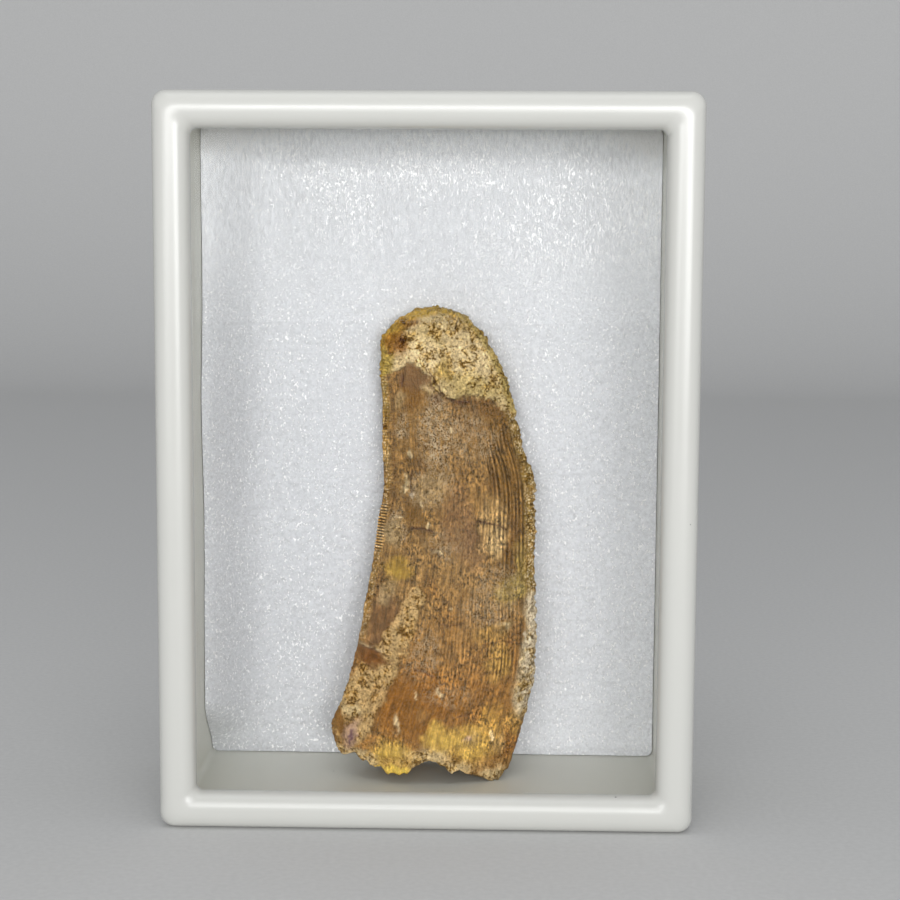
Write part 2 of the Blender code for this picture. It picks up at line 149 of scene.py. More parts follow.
# Tooth: edges seen from the front as (x, z), from the root up to the tip
TOOTH_LEFT_EDGE = (
    (-17.0, 8.0), (-18.6, 13.0), (-16.8, 18.0), (-14.6, 25.0), (-13.3, 31.0), (-12.4, 36.5),
    (-11.0, 44.5), (-10.2, 51.0), (-9.1, 58.0), (-9.4, 65.0), (-9.5, 73.0), (-10.0, 80.0),
    (-9.9, 85.2), (-8.6, 87.6), (-6.4, 89.8), (-3.4, 91.5), (0.2, 92.1),
)
TOOTH_RIGHT_EDGE = (
    (15.3, 6.6), (16.6, 10.5), (18.6, 17.5), (19.8, 23.0), (20.1, 30.0), (19.8, 38.0),
    (19.7, 46.0), (19.6, 54.0), (18.9, 61.0), (17.2, 66.5), (16.2, 71.5), (14.5, 77.5),
    (12.1, 82.8), (9.6, 86.8), (6.8, 89.8), (3.6, 91.4), (0.2, 92.1),
)
ROOT_FRONT_EDGE = (
    (-17.0, 8.6), (-13.7, 8.9), (-10.0, 7.2), (-5.5, 6.2), (-2.8, 6.9), (-0.2, 8.6),
    (2.0, 7.9), (5.0, 6.6), (8.6, 5.7), (11.0, 4.7), (12.3, 4.45), (13.7, 4.8), (15.3, 6.6),
)
ROOT_BACK_EDGE = ((-17.0, 8.6), (-12.0, 6.4), (-6.0, 4.5), (0.0, 5.2), (9.0, 5.6), (15.3, 6.6))
ROOT_LEVEL = 6.5
ROOT_BLEND_TOP = 20.0
TOOTH_HALF_THICKNESS = (
    (6.9, 4.0), (7.4, 12.0), (7.2, 25.0), (6.4, 45.0), (5.4, 62.0), (4.7, 75.0),
    (4.0, 84.0), (3.1, 88.6), (2.0, 90.8), (1.0, 91.7), (0.0, 92.1),
)
TOOTH_LEAN_FOOT = (-0.5, 5.0)
TOOTH_LEAN_TIP = (10.6, 88.0)
CROWN_PEAK, ROOT_PEAK = 1.3, 1.05
CROWN_FULLNESS, ROOT_FULLNESS = 0.72, 0.55
CROWN_LEVEL = 32.0
EDGE_CLUSTER = 0.5
FRONT_COLUMNS = 156
BACK_COLUMNS = 44
TIP_START = 87.0
TIP_ROWS = 42
TIP_TURN = 87
BODY_ROWS = 430
ROW_SAMPLES = 4000
FINE_RANGE = (45.0, 57.0)
FINE_SHARE = 1.2

# Relief of the tooth's faces
CAP_BORDER = (
    (-12.0, 76.5), (-7.5, 80.3), (-4.0, 81.4), (-1.0, 80.0), (0.6, 77.0), (2.4, 75.2),
    (9.0, 75.0), (13.2, 73.7), (18.0, 70.5),
)
CAP_RISE = 0.75
CAP_LEDGE = 0.9
CAP_LUMP = 0.7
CAP_LUMP_SIZE = 3.0
FLUTE_START = 0.6
FLUTE_COUNT = 4
FLUTE_DEPTH = 0.4
FLUTE_RANGE = (22.0, 74.0)
FLUTE_FADE = 6.0
EDGE_GROOVE_SHARE = 0.14
EDGE_GROOVE_WIDTH = 0.05
EDGE_GROOVE_DEPTH = 0.35
EDGE_GROOVE_RANGE = (44.0, 86.0)
EDGE_GROOVE_FADE = 5.0
BROKEN_BAND = ((-2.0, 39.0, 1.8), (-7.0, 28.5, 2.8), (-12.0, 20.5, 4.4), (-15.0, 14.0, 4.2))
BROKEN_DEPTH = 0.85
BROKEN_FLOOR, BROKEN_LIP = 0.75, 1.05
PATCHES = (
    (-10.8, 27.9, 2.6, 1.7, 1.1),
    (11.8, 51.3, 2.8, 5.3, -0.45),
    (12.8, 28.2, 3.4, 2.9, 0.45),
    (3.0, 9.8, 2.8, 2.4, 0.6),
    (-5.6, 8.6, 3.0, 2.2, 0.5),
    (17.5, 20.5, 2.2, 3.4, 0.5),
)
ROOT_LUMP = 0.55
ROOT_LUMP_SIZE = 4.5
ROOT_LUMP_TOP = 24.0
BACK_NOISE_SHIFT = 40.0
EDGE_CALM = 1 / 3
SOCKET_RINGS = ((0.9, 0.5), (0.78, 0.9), (0.62, 1.6), (0.48, 2.2), (0.25, 2.5))
SOCKET_TOP = 2.6

# Fine relief of the tooth
GRAIN_SIZE = 0.8
GRAIN_STEEPNESS, GRAIN_DOME = 2.2, 0.5
GRAIN_HEIGHT = 0.26
FLOW_WIDTH = 29.0
RIDGE_PITCH = 0.76
LOW_RIDGE_PITCH = 0.58
RIDGE_HEIGHT = 0.075
DENTICLE_PITCH = 0.545
DENTICLE_HEIGHT = 0.16
DENTICLE_SLANT = 0.06
FINE_GRAIN_SIZE = 0.55 * GRAIN_SIZE
FINE_GRAIN_SHIFT = 50.0
WARP, WARP_SIZE = 1.1, 2.4
FINE_WARP, FINE_WARP_SIZE = 0.5, 0.7

# Colours of the tooth, as the eye sees them: red, green and blue from 0 to 255
TONES = {
    "enamel": (146, 114, 73),
    "plum": (127, 97, 75),
    "umber": (96, 70, 42),
    "rust": (138, 99, 56),
    "honey": (143, 96, 38),
    "brown": (118, 88, 51),
    "ochre": (178, 142, 78),
    "mustard": (184, 150, 66),
    "olive": (170, 149, 85),
    "tan": (180, 147, 98),
    "pale_sand": (194, 166, 118),
    "sand": (202, 180, 136),
    "cream": (234, 208, 160),
    "gold": (196, 152, 80),
    "brick": (134, 92, 56),
    "yellow": (218, 180, 92),
    "bright_yellow": (240, 202, 96),
    "chalk": (222, 206, 176),
    "pink": (192, 158, 132),
    "mauve": (122, 94, 98),
    # Dark of cracks and pits, partly painted shade
    "dark": (70, 48, 26),
}

# Soft spots of colour on the front, and one painted shadow: tone, x, z, half width, half height,
# turn, strength
STAINS = (
    ("honey", -3.0, 19.0, 7.5, 6.5, 10, 0.8),
    ("honey", 6.5, 19.0, 8.0, 6.0, 0, 0.35),
    ("rust", -2.6, 16.6, 3.2, 2.6, 20, 0.6),
    ("rust", -5.4, 13.6, 2.4, 1.4, 0, 0.7),
    ("rust", -3.8, 75.6, 2.5, 2.6, 0, 0.75),
    ("rust", 0.3, 39.6, 1.8, 2.4, 0, 0.65),
    ("rust", 3.2, 58.5, 2.0, 1.6, 30, 0.35),
    ("plum", -3.0, 79.0, 3.4, 2.6, 0, 0.6),
    ("plum", 1.0, 75.8, 1.6, 1.8, 30, 0.6),
    ("plum", 5.0, 52.5, 3.0, 6.0, 0, 0.5),
    ("plum", 8.5, 48.0, 2.2, 4.5, 0, 0.5),
    ("plum", -8.8, 33.0, 3.4, 5.6, -14, 0.95),
    ("brown", -8.8, 33.0, 3.0, 5.0, -14, 0.45),
    ("umber", -9.6, 41.0, 0.9, 3.4, -12, 0.6),
    ("umber", -6.9, 50.4, 1.2, 2.6, 0, 0.65),
    ("umber", -2.4, 61.9, 1.3, 1.7, 0, 0.55),
    ("brown", -3.3, 54.2, 1.7, 2.5, 0, 0.75),
    ("brown", 0.6, 45.0, 1.5, 3.0, 0, 0.4),
    ("umber", -1.9, 50.4, 2.0, 1.2, 0, 0.45),
    # Painted shadow under the ledge of the cap
    ("umber", 9.8, 73.4, 5.4, 1.5, -8, 0.65),
    ("brown", 13.6, 64.0, 2.6, 9.0, 8, 0.75),
    ("brown", 15.8, 51.0, 2.2, 9.0, 0, 0.8),
    ("umber", 15.4, 49.5, 1.3, 3.6, 0, 0.55),
    ("umber", 11.6, 59.3, 1.0, 2.6, 6, 0.5),
    ("umber", 15.6, 32.0, 1.6, 1.6, 0, 0.5),
    ("olive", 15.0, 39.4, 3.0, 2.4, 0, 0.65),
    ("olive", 17.3, 43.5, 1.6, 5.0, 0, 0.5),
    ("mustard", -6.2, 43.3, 3.0, 2.0, 6, 0.6),
    ("bright_yellow", -7.2, 42.6, 1.2, 0.9, 0, 0.18),
    ("ochre", 11.4, 31.8, 3.2, 1.8, 0, 0.4),
    ("ochre", 12.8, 26.8, 2.4, 3.4, 0, 0.75),
    ("brick", 16.4, 25.0, 1.2, 3.0, 0, 0.35),
    ("ochre", 16.0, 14.6, 1.8, 2.6, 15, 0.55),
    ("honey", 15.2, 10.6, 1.5, 3.2, 12, 0.55),
    ("yellow", 2.2, 12.8, 2.8, 2.6, -20, 0.9),
    ("yellow", 8.0, 11.6, 4.4, 3.6, 0, 0.75),
    ("gold", 11.6, 14.6, 2.2, 3.8, 0, 0.85),
    ("tan", 7.8, 12.6, 1.6, 1.4, 0, 0.6),
    ("tan", 13.0, 11.2, 1.2, 1.6, 0, 0.6),
    ("yellow", -6.8, 8.4, 4.0, 3.4, 0, 0.95),
    ("tan", 11.7, 51.2, 2.6, 5.2, 0, 0.6),
    ("sand", 12.3, 48.4, 1.5, 2.8, -6, 0.4),
    ("tan", -1.0, 17.0, 1.2, 1.3, -30, 0.4),
)

# The same for bare spots within the sandy places
BARE_SPOTS = (
    ("honey", -3.6, 18.0, 5.6, 4.6, 10, 0.35),
    ("bright_yellow", -6.9, 6.5, 3.0, 1.1, -3, 0.95),
    ("rust", -17.0, 14.0, 1.4, 2.6, 18, 0.95),
    ("pink", -14.7, 12.2, 1.3, 2.8, -24, 0.95),
    ("mauve", -14.6, 11.9, 0.26, 1.3, -30, 0.95),
    ("brick", -10.9, 26.5, 3.1, 1.6, -14, 1.0),
    ("umber", -9.8, 26.0, 1.6, 0.5, -14, 0.5),
)

# Small chips with a crisp border: tone, x, z, half width, half height, turn
CHIPS = (
    ("cream", -3.8, 65.0, 0.55, 0.75, 0),
    ("cream", 3.6, 69.6, 0.3, 0.4, 0),
    ("sand", -4.9, 58.8, 0.55, 1.6, -8),
    ("cream", -4.8, 57.6, 0.35, 0.5, 0),
    ("chalk", -3.8, 56.9, 0.45, 0.32, 0),
    ("cream", -1.4, 55.2, 0.28, 0.75, 14),
    ("sand", -0.9, 51.8, 0.5, 0.5, 0),
    ("cream", -6.2, 52.5, 0.9, 0.35, 12),
    ("sand", 1.3, 46.6, 0.9, 0.35, -30),
    ("cream", -6.0, 15.2, 0.55, 1.5, 0),
    ("cream", 1.8, 21.0, 1.0, 0.3, 0),
    ("cream", -2.2, 20.6, 0.2, 0.8, 0),
    ("chalk", 18.0, 30.3, 0.3, 0.9, 0),
    ("cream", 17.2, 26.6, 0.3, 0.7, 0),
    ("cream", 11.9, 12.6, 0.45, 1.0, 0),
    ("cream", 4.0, 36.1, 0.35, 0.25, 0),
    ("sand", 14.2, 33.4, 1.0, 0.5, -30),
    ("pink", 6.9, 12.9, 0.7, 0.35, 0),
)

# Places with sandy grains on the front: x, z, half width, half height, turn, amount
SANDS = (
    (-0.9, 76.5, 1.3, 1.0, 0, 0.8),
    (-6.0, 74.3, 1.0, 1.4, 0, 0.5),
    (0.3, 8.6, 3.6, 2.4, 0, 0.95),
    (5.0, 6.6, 3.0, 1.8, 0, 1.0),
    (12.4, 5.0, 2.6, 1.6, 0, 0.9),
    (-11.8, 8.6, 2.6, 1.4, -14, 0.9),
    (-14.9, 16.6, 1.6, 1.1, 0, 0.9),
    (-15.6, 9.0, 2.4, 1.3, -10, 0.95),
    (-7.2, 49.8, 1.4, 2.4, 0, 0.55),
    (18.0, 19.6, 1.9, 4.4, 8, 1.0),
    (14.3, 33.2, 2.0, 1.1, 0, 0.5),
    (-8.0, 38.6, 1.4, 2.6, -30, 0.5),
    (0.0, 58.5, 3.6, 2.8, 35, 0.35),
    (-2.6, 9.6, 2.0, 1.6, 0, 0.6),
)

# Places with fine pale dust on the enamel
DUSTS = (
    (0.8, 68.0, 3.0, 7.0, 0, 1.0),
    (-5.4, 69.6, 1.4, 2.4, 0, 0.8),
    (10.4, 67.0, 2.0, 3.0, 0, 0.6),
    (0.0, 58.6, 4.6, 3.2, 35, 0.9),
    (6.4, 68.0, 3.2, 5.0, 0, 0.5),
    (-6.6, 50.6, 1.8, 2.8, 0, 0.9),
    (2.6, 48.0, 3.0, 3.0, 0, 0.4),
    (10.8, 36.0, 5.0, 2.6, 0, 0.5),
    (12.5, 41.0, 4.0, 3.0, 0, 0.5),
    (-1.5, 27.5, 3.0, 5.0, -20, 0.5),
    (3.0, 20.5, 4.5, 2.0, 0, 0.4),
)

# Smooth places without speckles
CALM_SPOTS = (
    (-3.6, 18.0, 6.0, 6.0, 10, 0.55),
    (-3.2, 78.6, 2.6, 2.2, 0, 0.7),
    (-3.8, 75.6, 2.2, 2.2, 0, 0.6),
    (-8.8, 33.0, 2.8, 4.8, -14, 0.6),
    (-6.2, 43.0, 2.4, 1.8, 6, 0.7),
    (-3.3, 54.2, 1.7, 2.5, 0, 0.6),
    (-10.9, 26.5, 3.1, 1.6, -14, 0.7),
    (-17.0, 13.8, 1.4, 2.8, 18, 0.9),
    (-14.7, 12.2, 1.0, 2.9, -24, 0.9),
    (6.0, 50.0, 3.0, 5.0, 0, 0.4),
    (2.2, 12.8, 2.8, 2.6, -20, 0.6),
    (-6.8, 8.0, 3.6, 3.0, 0, 0.6),
)

# Cracks: their depth, and the places that they pass through. They are cut in and painted dark,
# partly their own dark line and partly painted shade
CRACKS = (
    (0.30, (8.8, 52.4), (11.3, 52.1), (14.4, 50.8)),
    (0.22, (1.8, 33.6), (3.6, 33.3), (5.8, 33.7)),
    (0.22, (9.4, 34.7), (11.6, 34.0), (14.3, 34.6)),
    (0.25, (10.2, 29.9), (13.8, 30.5), (17.2, 29.4)),
    (0.22, (10.2, 27.1), (13.4, 27.2)),
    (0.22, (10.2, 24.6), (13.4, 24.7)),
    (0.30, (-2.6, 24.9), (-1.0, 24.9), (0.8, 23.9)),
    (0.30, (-3.7, 50.8), (-1.5, 50.9), (0.6, 50.4)),
    (0.22, (0.1, 47.3), (1.0, 46.8), (2.2, 46.0)),
    (0.30, (-5.6, 79.2), (-5.7, 77.0)),
    (0.35, (-0.3, 80.0), (1.4, 76.9), (2.8, 75.0), (5.0, 74.4), (7.0, 74.5)),
    (0.30, (-3.7, 61.5), (-4.0, 59.0), (-3.6, 56.9)),
    (0.22, (5.5, 16.8), (7.6, 17.2)),
    (0.25, (-13.4, 28.4), (-10.6, 27.9), (-7.6, 26.6)),
)
CRACK_WIDTH = 0.2
CRACK_WANDER = 0.35
CRACK_FULL_DEPTH = 0.3
CRACK_DEPTH = 0.28

# Pits in the cap, cut in and painted dark as painted shade: x, z, half width, half height, turn
PITS = (
    (-8.0, 83.7, 0.5, 0.4, 0),
    (-5.4, 89.0, 0.5, 0.35, 0),
    (-6.6, 86.0, 0.4, 0.5, 0),
    (4.4, 88.4, 0.25, 0.6, 0),
)
PIT_DEPTH = 0.35

# Spots without grains, in the same form, and one with a softness of its own
GRAINLESS_SPOTS = (
    (2.3, 80.6, 1.0, 1.5, 0, 0.8),
    (-10.9, 26.5, 3.1, 1.6, -14),
    (-6.9, 6.5, 3.0, 1.2, 0),
    (-17.0, 13.6, 1.3, 3.0, 18),
    (-14.7, 12.2, 1.0, 2.9, -24),
)

# Stains on the cap: tone, strength, x, z, half width, half height, turn, softness
PALE_CAP_STAINS = (
    ("cream", 0.75, -2.2, 83.2, 3.2, 3.2, 0, 0.6),
    ("cream", 0.5, 8.0, 82.6, 3.0, 4.2, 25, 0.6),
)
LOW_CAP_STAINS = (("olive", 0.5, 8.0, 77.2, 6.0, 2.4, -12, 0.6),)
DARK_CAP_STAINS = (
    ("honey", 0.8, -6.9, 85.4, 2.0, 2.6, 35, 0.5),
    ("honey", 0.6, -4.6, 89.0, 2.2, 1.0, 20, 0.5),
)
CAP_SPOTS = ((2.3, 80.6, 1.1, 1.6, 0, 0.8),)

# Noise over the tooth: the size of its lumps, and a shift that sets it apart
BROAD, MEDIUM, SMALL, TINY = (9.0, 21.0), (3.4, 25.0), (1.3, 29.0), (0.55, 33.0)
BAND_LUMPS, FINE_BAND_LUMPS = (1.6, 13.0), (0.7, 17.0)
TORN_LUMPS, FINE_TORN_LUMPS = (1.7, 49.0), (0.7, 53.0)
SOCKET_LUMPS, SOCKET_ROUGHNESS = (1.4, 60.0), 0.35
WARP_SHIFTS = (5.0, 9.0)

# Noise along the ridges: the width and the height of its lumps, and its shift
RIDGE_LINES = (0.9, 6.0, 41.0)
RIDGE_BENDS = (2.0, 22.0, 45.0)

# Stretches up the tooth: the lowest and the highest place, and the fade at both ends
CRUST_SPAN = (14.0, 76.0), 6.0
WIDE_CRUST_SPAN = (14.0, 32.0), 6.0
PALE_CRUST_SPAN = (14.0, 40.0), 3.0
STRIP_SPAN = (28.0, 86.0), 4.0
UPPER_RIDGE_SPAN = (42.0, 72.0), 4.0
LOWER_RIDGE_SPAN = (19.0, 40.0), 3.0
SAW_SPAN = (43.0, 84.0), 3.0
CRISP_SAW_SPAN = (45.5, 55.5), 1.2
FAINT_SAW_SPAN = (56.0, 77.0), 6.0
EDGE_LINE_SPAN = (44.0, 80.0), 4.0

# Borders of the layers: distances, heights or noise between which a layer comes in or ends
CRUST_EDGE = (0.9, 2.6)
STRIP_EDGE, STRIP_WIDTH = (0.7, 1.6), 4.0
CAP_RIM_SHARES, CAP_RIM_END, WIDE_CAP_RIM = (0.6, 1.2), (2.0, 9.0), (-8.0, -4.0)
FOOT_EDGE = (1.4, 3.6)
BACK_SAND_EDGE = (0.1, 0.5)
SAW_EDGE, FAINT_SAW_EDGE = (1.1, 1.8), (1.6, 3.0)

# Ridges: the shares of the width where they come in, the level where their pitch changes,
# and two small faces where they lie bare
UPPER_RIDGE_EDGE, LOWER_RIDGE_EDGE = (0.68, 0.80), (0.30, 0.50)
LOW_RIDGES_TOP = 40.0
GOLD_FACE = (13.0, 26.9, 2.4, 3.6, 0)
BARED_FACE = (11.7, 50.9, 3.0, 5.4, 0, 0.12)
BARED_DEPTH = 0.30

# Small bends of the outline: bulges and a notch on the right, and the torn foot
BULGES = ((0.45, (57.0, 62.8), 0.8), (0.30, (51.0, 54.4), 0.8))
BULGE_EDGE = (2.5, 0.5)
NOTCH_DEPTH, NOTCH_LEVEL, NOTCH_WIDTH = 0.7, 70.9, 0.45
OUTLINE_FOOT, OUTLINE_REACH = (6.0, 12.0), 0.9
TORN_REACH = 1.2

# Thin lines of colour: the umber one beside the left edge, and the cream one on the band
EDGE_LINE_OFFSET, EDGE_LINE_WIDTH = 2.2, 0.35
CREAM_LINE_PLACE, CREAM_LINE_FALL = (-13.0, 28.7), 0.25
CREAM_LINE_ENDS, CREAM_LINE_WIDTH = (-13.6, -7.8), 0.22

# Heights between which a tone comes in, and the same for other measures: the share of the
# width, the height of a grain, and the distance from the right edge
HONEY_TOP = (22.0, 40.0)
PLUM_FOOT = (34.0, 60.0)
BROWN_FOOT, SIDE_BROWN_FOOT = (46.0, 56.0), (34.0, 44.0)
FULL_STRIP_FOOT, OLIVE_STRIP_FOOT = (60.0, 64.0), (66.0, 78.0)
SANDY_CRUST_TOP = (26.0, 34.0)
SIDE_BROWN_EDGE = (0.62, 0.85)
CHALKY_BEADS, DARK_GAPS = (0.45, 0.75), (0.05, 0.35)
CAP_SIDE_EDGE = (0.8, 1.8)

# The cap's rim is olive to the left of this place and below it
OLIVE_RIM_CORNER = (-7.0, 84.0)

# Light that the window and the gloss add to a tone, and the light that falls on the tooth
GLARE = 0.02
TOOTH_LIGHT = 1.27
DARKEST = 0.008

# Noise of the foam and the fossil: scale, detail, roughness and distortion. The scales are
# in lumps per metre, but the streaks' scale is in lumps per millimetre.
CELLS, DRAWN_CELLS = (1900.0, 3.0, 0.6), (2000.0, 3.0, 0.6)
# Noise that places the foam's painted glints, and the patches where they gather
GLINTS, DRAWN_GLINTS = (2500.0, 1.0, 0.5, 0.5), (2900.0, 1.0, 0.5, 1.4)
GLINT_PATCHES = (48.0, 1.0)
STREAKS = (1.9, 4.0, 0.75)
SPECKLES = (2300.0, 3.0, 0.7)
MOTTLES = (800.0, 4.0, 0.75)
SPECKLED_PATCHES = (240.0, 2.0)
WORMS = (2300.0, 2.0, 0.6, 0.4)
PORES = (2200.0, 2.0)
GRIT = (2200.0, 4.0, 0.75)
CLUMPS = (520.0, 3.0, 0.7)

# How far each noise is drawn out, along x, y and z
DRAWN_CELL_SHAPE = (1.0, 1.0, 0.30)
GLINT_SHAPE, DRAWN_GLINT_SHAPE = (1.0, 1.0, 0.75), (1.0, 1.0, 0.42)
GRAIN_SHAPE = (1.0, 0.4, 1.0)
SPECKLE_SHAPE = (1.0, 0.4, 0.6)
STREAK_SHAPE = (1.0, 0.08, 1.0)

# What noise, or a wave, becomes: its low and high value, and what they turn into
CELL_TONES = (0.25, 0.75)
# Where the foam's painted glints come in, and how glossy they are
GLINT_EDGE = (0.60, 0.69)
DRAWN_GLINT_EDGE = (0.57, 0.66)
GLINT_PATCH_RISE = (0.38, 0.62, -0.03, 0.05)
GLINT_ROUGHNESS = (0.0, 1.0, 0.55, 0.15)
STREAK_TONES = (0.34, 0.66, 0.45, 1.62)
MOTTLE_TONES = (0.34, 0.66, 0.62, 1.42)
SPECKLE_TONES = (0.38, 0.62, 0.24, 2.02)
SPECKLED_SHARE = (0.42, 0.58, 0.30, 1.0)
WORM_EDGE = (0.085, 0.04)
PORE_EDGE = (0.42, 0.34, 0.0, 0.85)
RIDGE_PAINTED_SHADING = (0.05, 0.95, 0.46, 1.50)
CLUMP_RISE = (0.3, 0.7, -0.12, 0.12)
BEAD_EDGE = (0.36, 0.46, 0.0, 1.0)
BEAD_TONES = (0.42, 0.62, 1.10, 1.95)
STAINED_SHARE = (0.53, 0.40, 0.0, 0.9)
SAND_TONES = (0.36, 0.64, 0.75, 1.30)
SAW_PAINTED_SHADING = (-0.6, 0.6, 0.34, 1.7)
ENAMEL_ROUGHNESS = (0.3, 0.7, 0.42, 0.62)
CALM_SHARE, WORM_SHARE = 0.55, 0.88
FOAM_BUMP, FOAM_BUMP_STRENGTH = 0.0002, 0.6
FOSSIL_BUMP, FOSSIL_BUMP_STRENGTH = 0.00022, 0.9

# Colours within the fossil's material, as the shader takes them
SMOOTH_TONE = (1.06, 1.06, 1.06, 1.0)
WORM_COLOUR = (0.58, 0.45, 0.28, 1.0)
PORE_COLOUR = (0.02, 0.01, 0.004, 1.0)
GAP_TONE = (0.52, 0.40, 0.18, 1.0)
STAINED_TONE = (0.80, 0.68, 0.42, 1.0)
SAND_LIMIT = (0.86, 0.82, 0.72, 1.0)
SAND_ROUGHNESS = (0.85, 0.85, 0.85, 1.0)
WORM_ROUGHNESS = (0.8, 0.8, 0.8, 1.0)


def seen_tone(name):
    """The surface colour that is seen as this tone behind the window."""
    parts = np.array(TONES[name]) / 255
    linear = np.where(parts > 0.04045, ((parts + 0.055) / 1.055) ** 2.4, parts / 12.92)
    return np.maximum((linear - GLARE) / TOOTH_LIGHT, DARKEST)


class Shader:
    """A node material, built one node at a time around its Principled shader."""

    def __init__(self, name):
        self.material = bpy.data.materials.new(name)
        self.material.use_nodes = True
        self.nodes = self.material.node_tree.nodes
        self.links = self.material.node_tree.links
        self.surface = self.nodes["Principled BSDF"]
        self.output = self.nodes["Material Output"]

    def add(self, kind, settings=None, **inputs):
        """A node with its settings, and its inputs by name, where _ stands for a space."""
        node = self.nodes.new(kind)
        for name, value in (settings or {}).items():
            setattr(node, name, value)
        for name, value in inputs.items():
            self.feed(node.inputs[name.replace("_", " ")], value)
        return node

    def feed(self, socket, value):
        if isinstance(value, bpy.types.NodeSocket):
            self.links.new(value, socket)
        elif value is not None:
            socket.default_value = value

    def set(self, **inputs):
        for name, value in inputs.items():
            self.feed(self.surface.inputs[name.replace("_", " ")], value)

    def math(self, operation, a, b=None):
        node = self.add("ShaderNodeMath", {"operation": operation})
        self.feed(node.inputs[0], a)
        self.feed(node.inputs[1], b)
        return node.outputs[0]

    def mix(self, share, a, b, blend="MIX"):
        """A mix of two colours."""
        node = self.add("ShaderNodeMix", {"data_type": "RGBA", "blend_type": blend})
        self.feed(node.inputs[0], share)
        self.feed(node.inputs[6], a)
        self.feed(node.inputs[7], b)
        return node.outputs[2]

    def multiply(self, a, b):
        return self.mix(1.0, a, b, blend="MULTIPLY")

    def darken(self, colour, limit):
        """The colour, no brighter than the limit."""
        return self.mix(1.0, colour, limit, blend="DARKEN")

    def remap(self, value, low, high, to_low=0.0, to_high=1.0, smooth=False):
        kind = "SMOOTHSTEP" if smooth else "LINEAR"
        node = self.add("ShaderNodeMapRange", {"interpolation_type": kind})
        for index, item in enumerate((value, low, high, to_low, to_high)):
            self.feed(node.inputs[index], item)
        return node.outputs[0]

    def attribute(self, name, output="Fac"):
        return self.add("ShaderNodeAttribute", {"attribute_name": name}).outputs[output]

    def place(self, scale=(1.0, 1.0, 1.0), vector=None):
        """The object's own coordinates, scaled."""
        if vector is None:
            vector = self.add("ShaderNodeTexCoord").outputs["Object"]
        return self.add("ShaderNodeMapping", Vector=vector, Scale=scale).outputs[0]

    def noise(self, vector, scale, detail=2.0, roughness=0.5, distortion=0.0):
        node = self.add("ShaderNodeTexNoise", Vector=vector, Scale=scale, Detail=detail,
                        Roughness=roughness, Distortion=distortion)
        return node.outputs[0]

    def cells(self, vector, scale):
        """Distance from the middle of the nearest cell."""
        node = self.add("ShaderNodeTexVoronoi", Vector=vector, Scale=scale)
        return node.outputs["Distance"]

    def bump(self, height, distance, strength):
        node = self.add("ShaderNodeBump", Height=height, Distance=distance, Strength=strength)
        return node.outputs[0]


def new_object(name, points, faces, material, smooth_angle=None, scale=1.0):
    """A mesh object from points, which scale turns into metres."""
    mesh = bpy.data.meshes.new(name)
    mesh.from_pydata((np.array(points) * scale).tolist(), [], faces)
    mesh.update()
    if smooth_angle is not None:
        mesh.shade_smooth()
        mesh.set_sharp_from_angle(angle=math.radians(smooth_angle))
    mesh.materials.append(material)
    node = bpy.data.objects.new(name, mesh)
    bpy.context.collection.objects.link(node)
    return node


def add_piece(piece, node):
    """Put a piece in the place of a CAD node."""
    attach(piece, "root")
    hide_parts(node)


def make_stage():
    """A pale floor that sweeps up into a backdrop behind the case."""
    shader = Shader("stage_paper")
    tone = shader.remap(shader.noise(shader.place(), PAPER_SCALE), *NOISE_SPAN, PAPER_TONE, 1.0)
    shader.set(Base_Color=shader.multiply(STAGE_COLOUR, tone), Roughness=0.9)
    profile = [(FLOOR_FRONT, 0.0)]
    for step in range(SWEEP_STEPS + 1):
        angle = math.radians(90) * step / SWEEP_STEPS
        profile.append((SWEEP_START + SWEEP_RADIUS * math.sin(angle),
                        SWEEP_RADIUS * (1 - math.cos(angle))))
    profile.append((SWEEP_START + SWEEP_RADIUS, BACKDROP_HEIGHT))
    points = [(side * FLOOR_HALF_WIDTH, y, z) for y, z in profile for side in (-1, 1)]
    faces = [(2 * i, 2 * i + 1, 2 * i + 3, 2 * i + 2) for i in range(len(profile) - 1)]
    new_object("floor", points, faces, shader.material, smooth_angle=60)


def make_camera():
    data = bpy.data.cameras.new("camera")
    data.lens = CAMERA_LENS
    data.sensor_width = CAMERA_SENSOR
    data.clip_start = CAMERA_NEAR
    camera = bpy.data.objects.new("camera", data)
    camera.location = CAMERA_PLACE
    camera.rotation_euler = [math.radians(angle) for angle in CAMERA_TURN]
    bpy.context.collection.objects.link(camera)
    bpy.context.scene.camera = camera


def softbox(name, place, width, height, power, glossy):
    """A flat soft light that faces the case."""
    data = bpy.data.lights.new(name, "AREA")
    data.shape = "RECTANGLE"
    data.size, data.size_y = width, height
    data.energy = power
    light = bpy.data.objects.new(name, data)
    light.location = place
    aim = Vector(LIGHT_TARGET) - Vector(place)
    light.rotation_euler = aim.to_track_quat("-Z", "Y").to_euler()
    light.visible_glossy = glossy
    bpy.context.collection.objects.link(light)


def make_lights():
    """Wide soft lights, placed so that the window shows none of them to the camera."""
    for light in LIGHTS:
        softbox(*light)
    world = bpy.data.worlds.new("room")
    world.use_nodes = True
    background = world.node_tree.nodes["Background"]
    background.inputs["Color"].default_value = WORLD_COLOUR
    background.inputs["Strength"].default_value = WORLD_STRENGTH
    bpy.context.scene.world = world
    bpy.context.scene.view_settings.view_transform = "Standard"


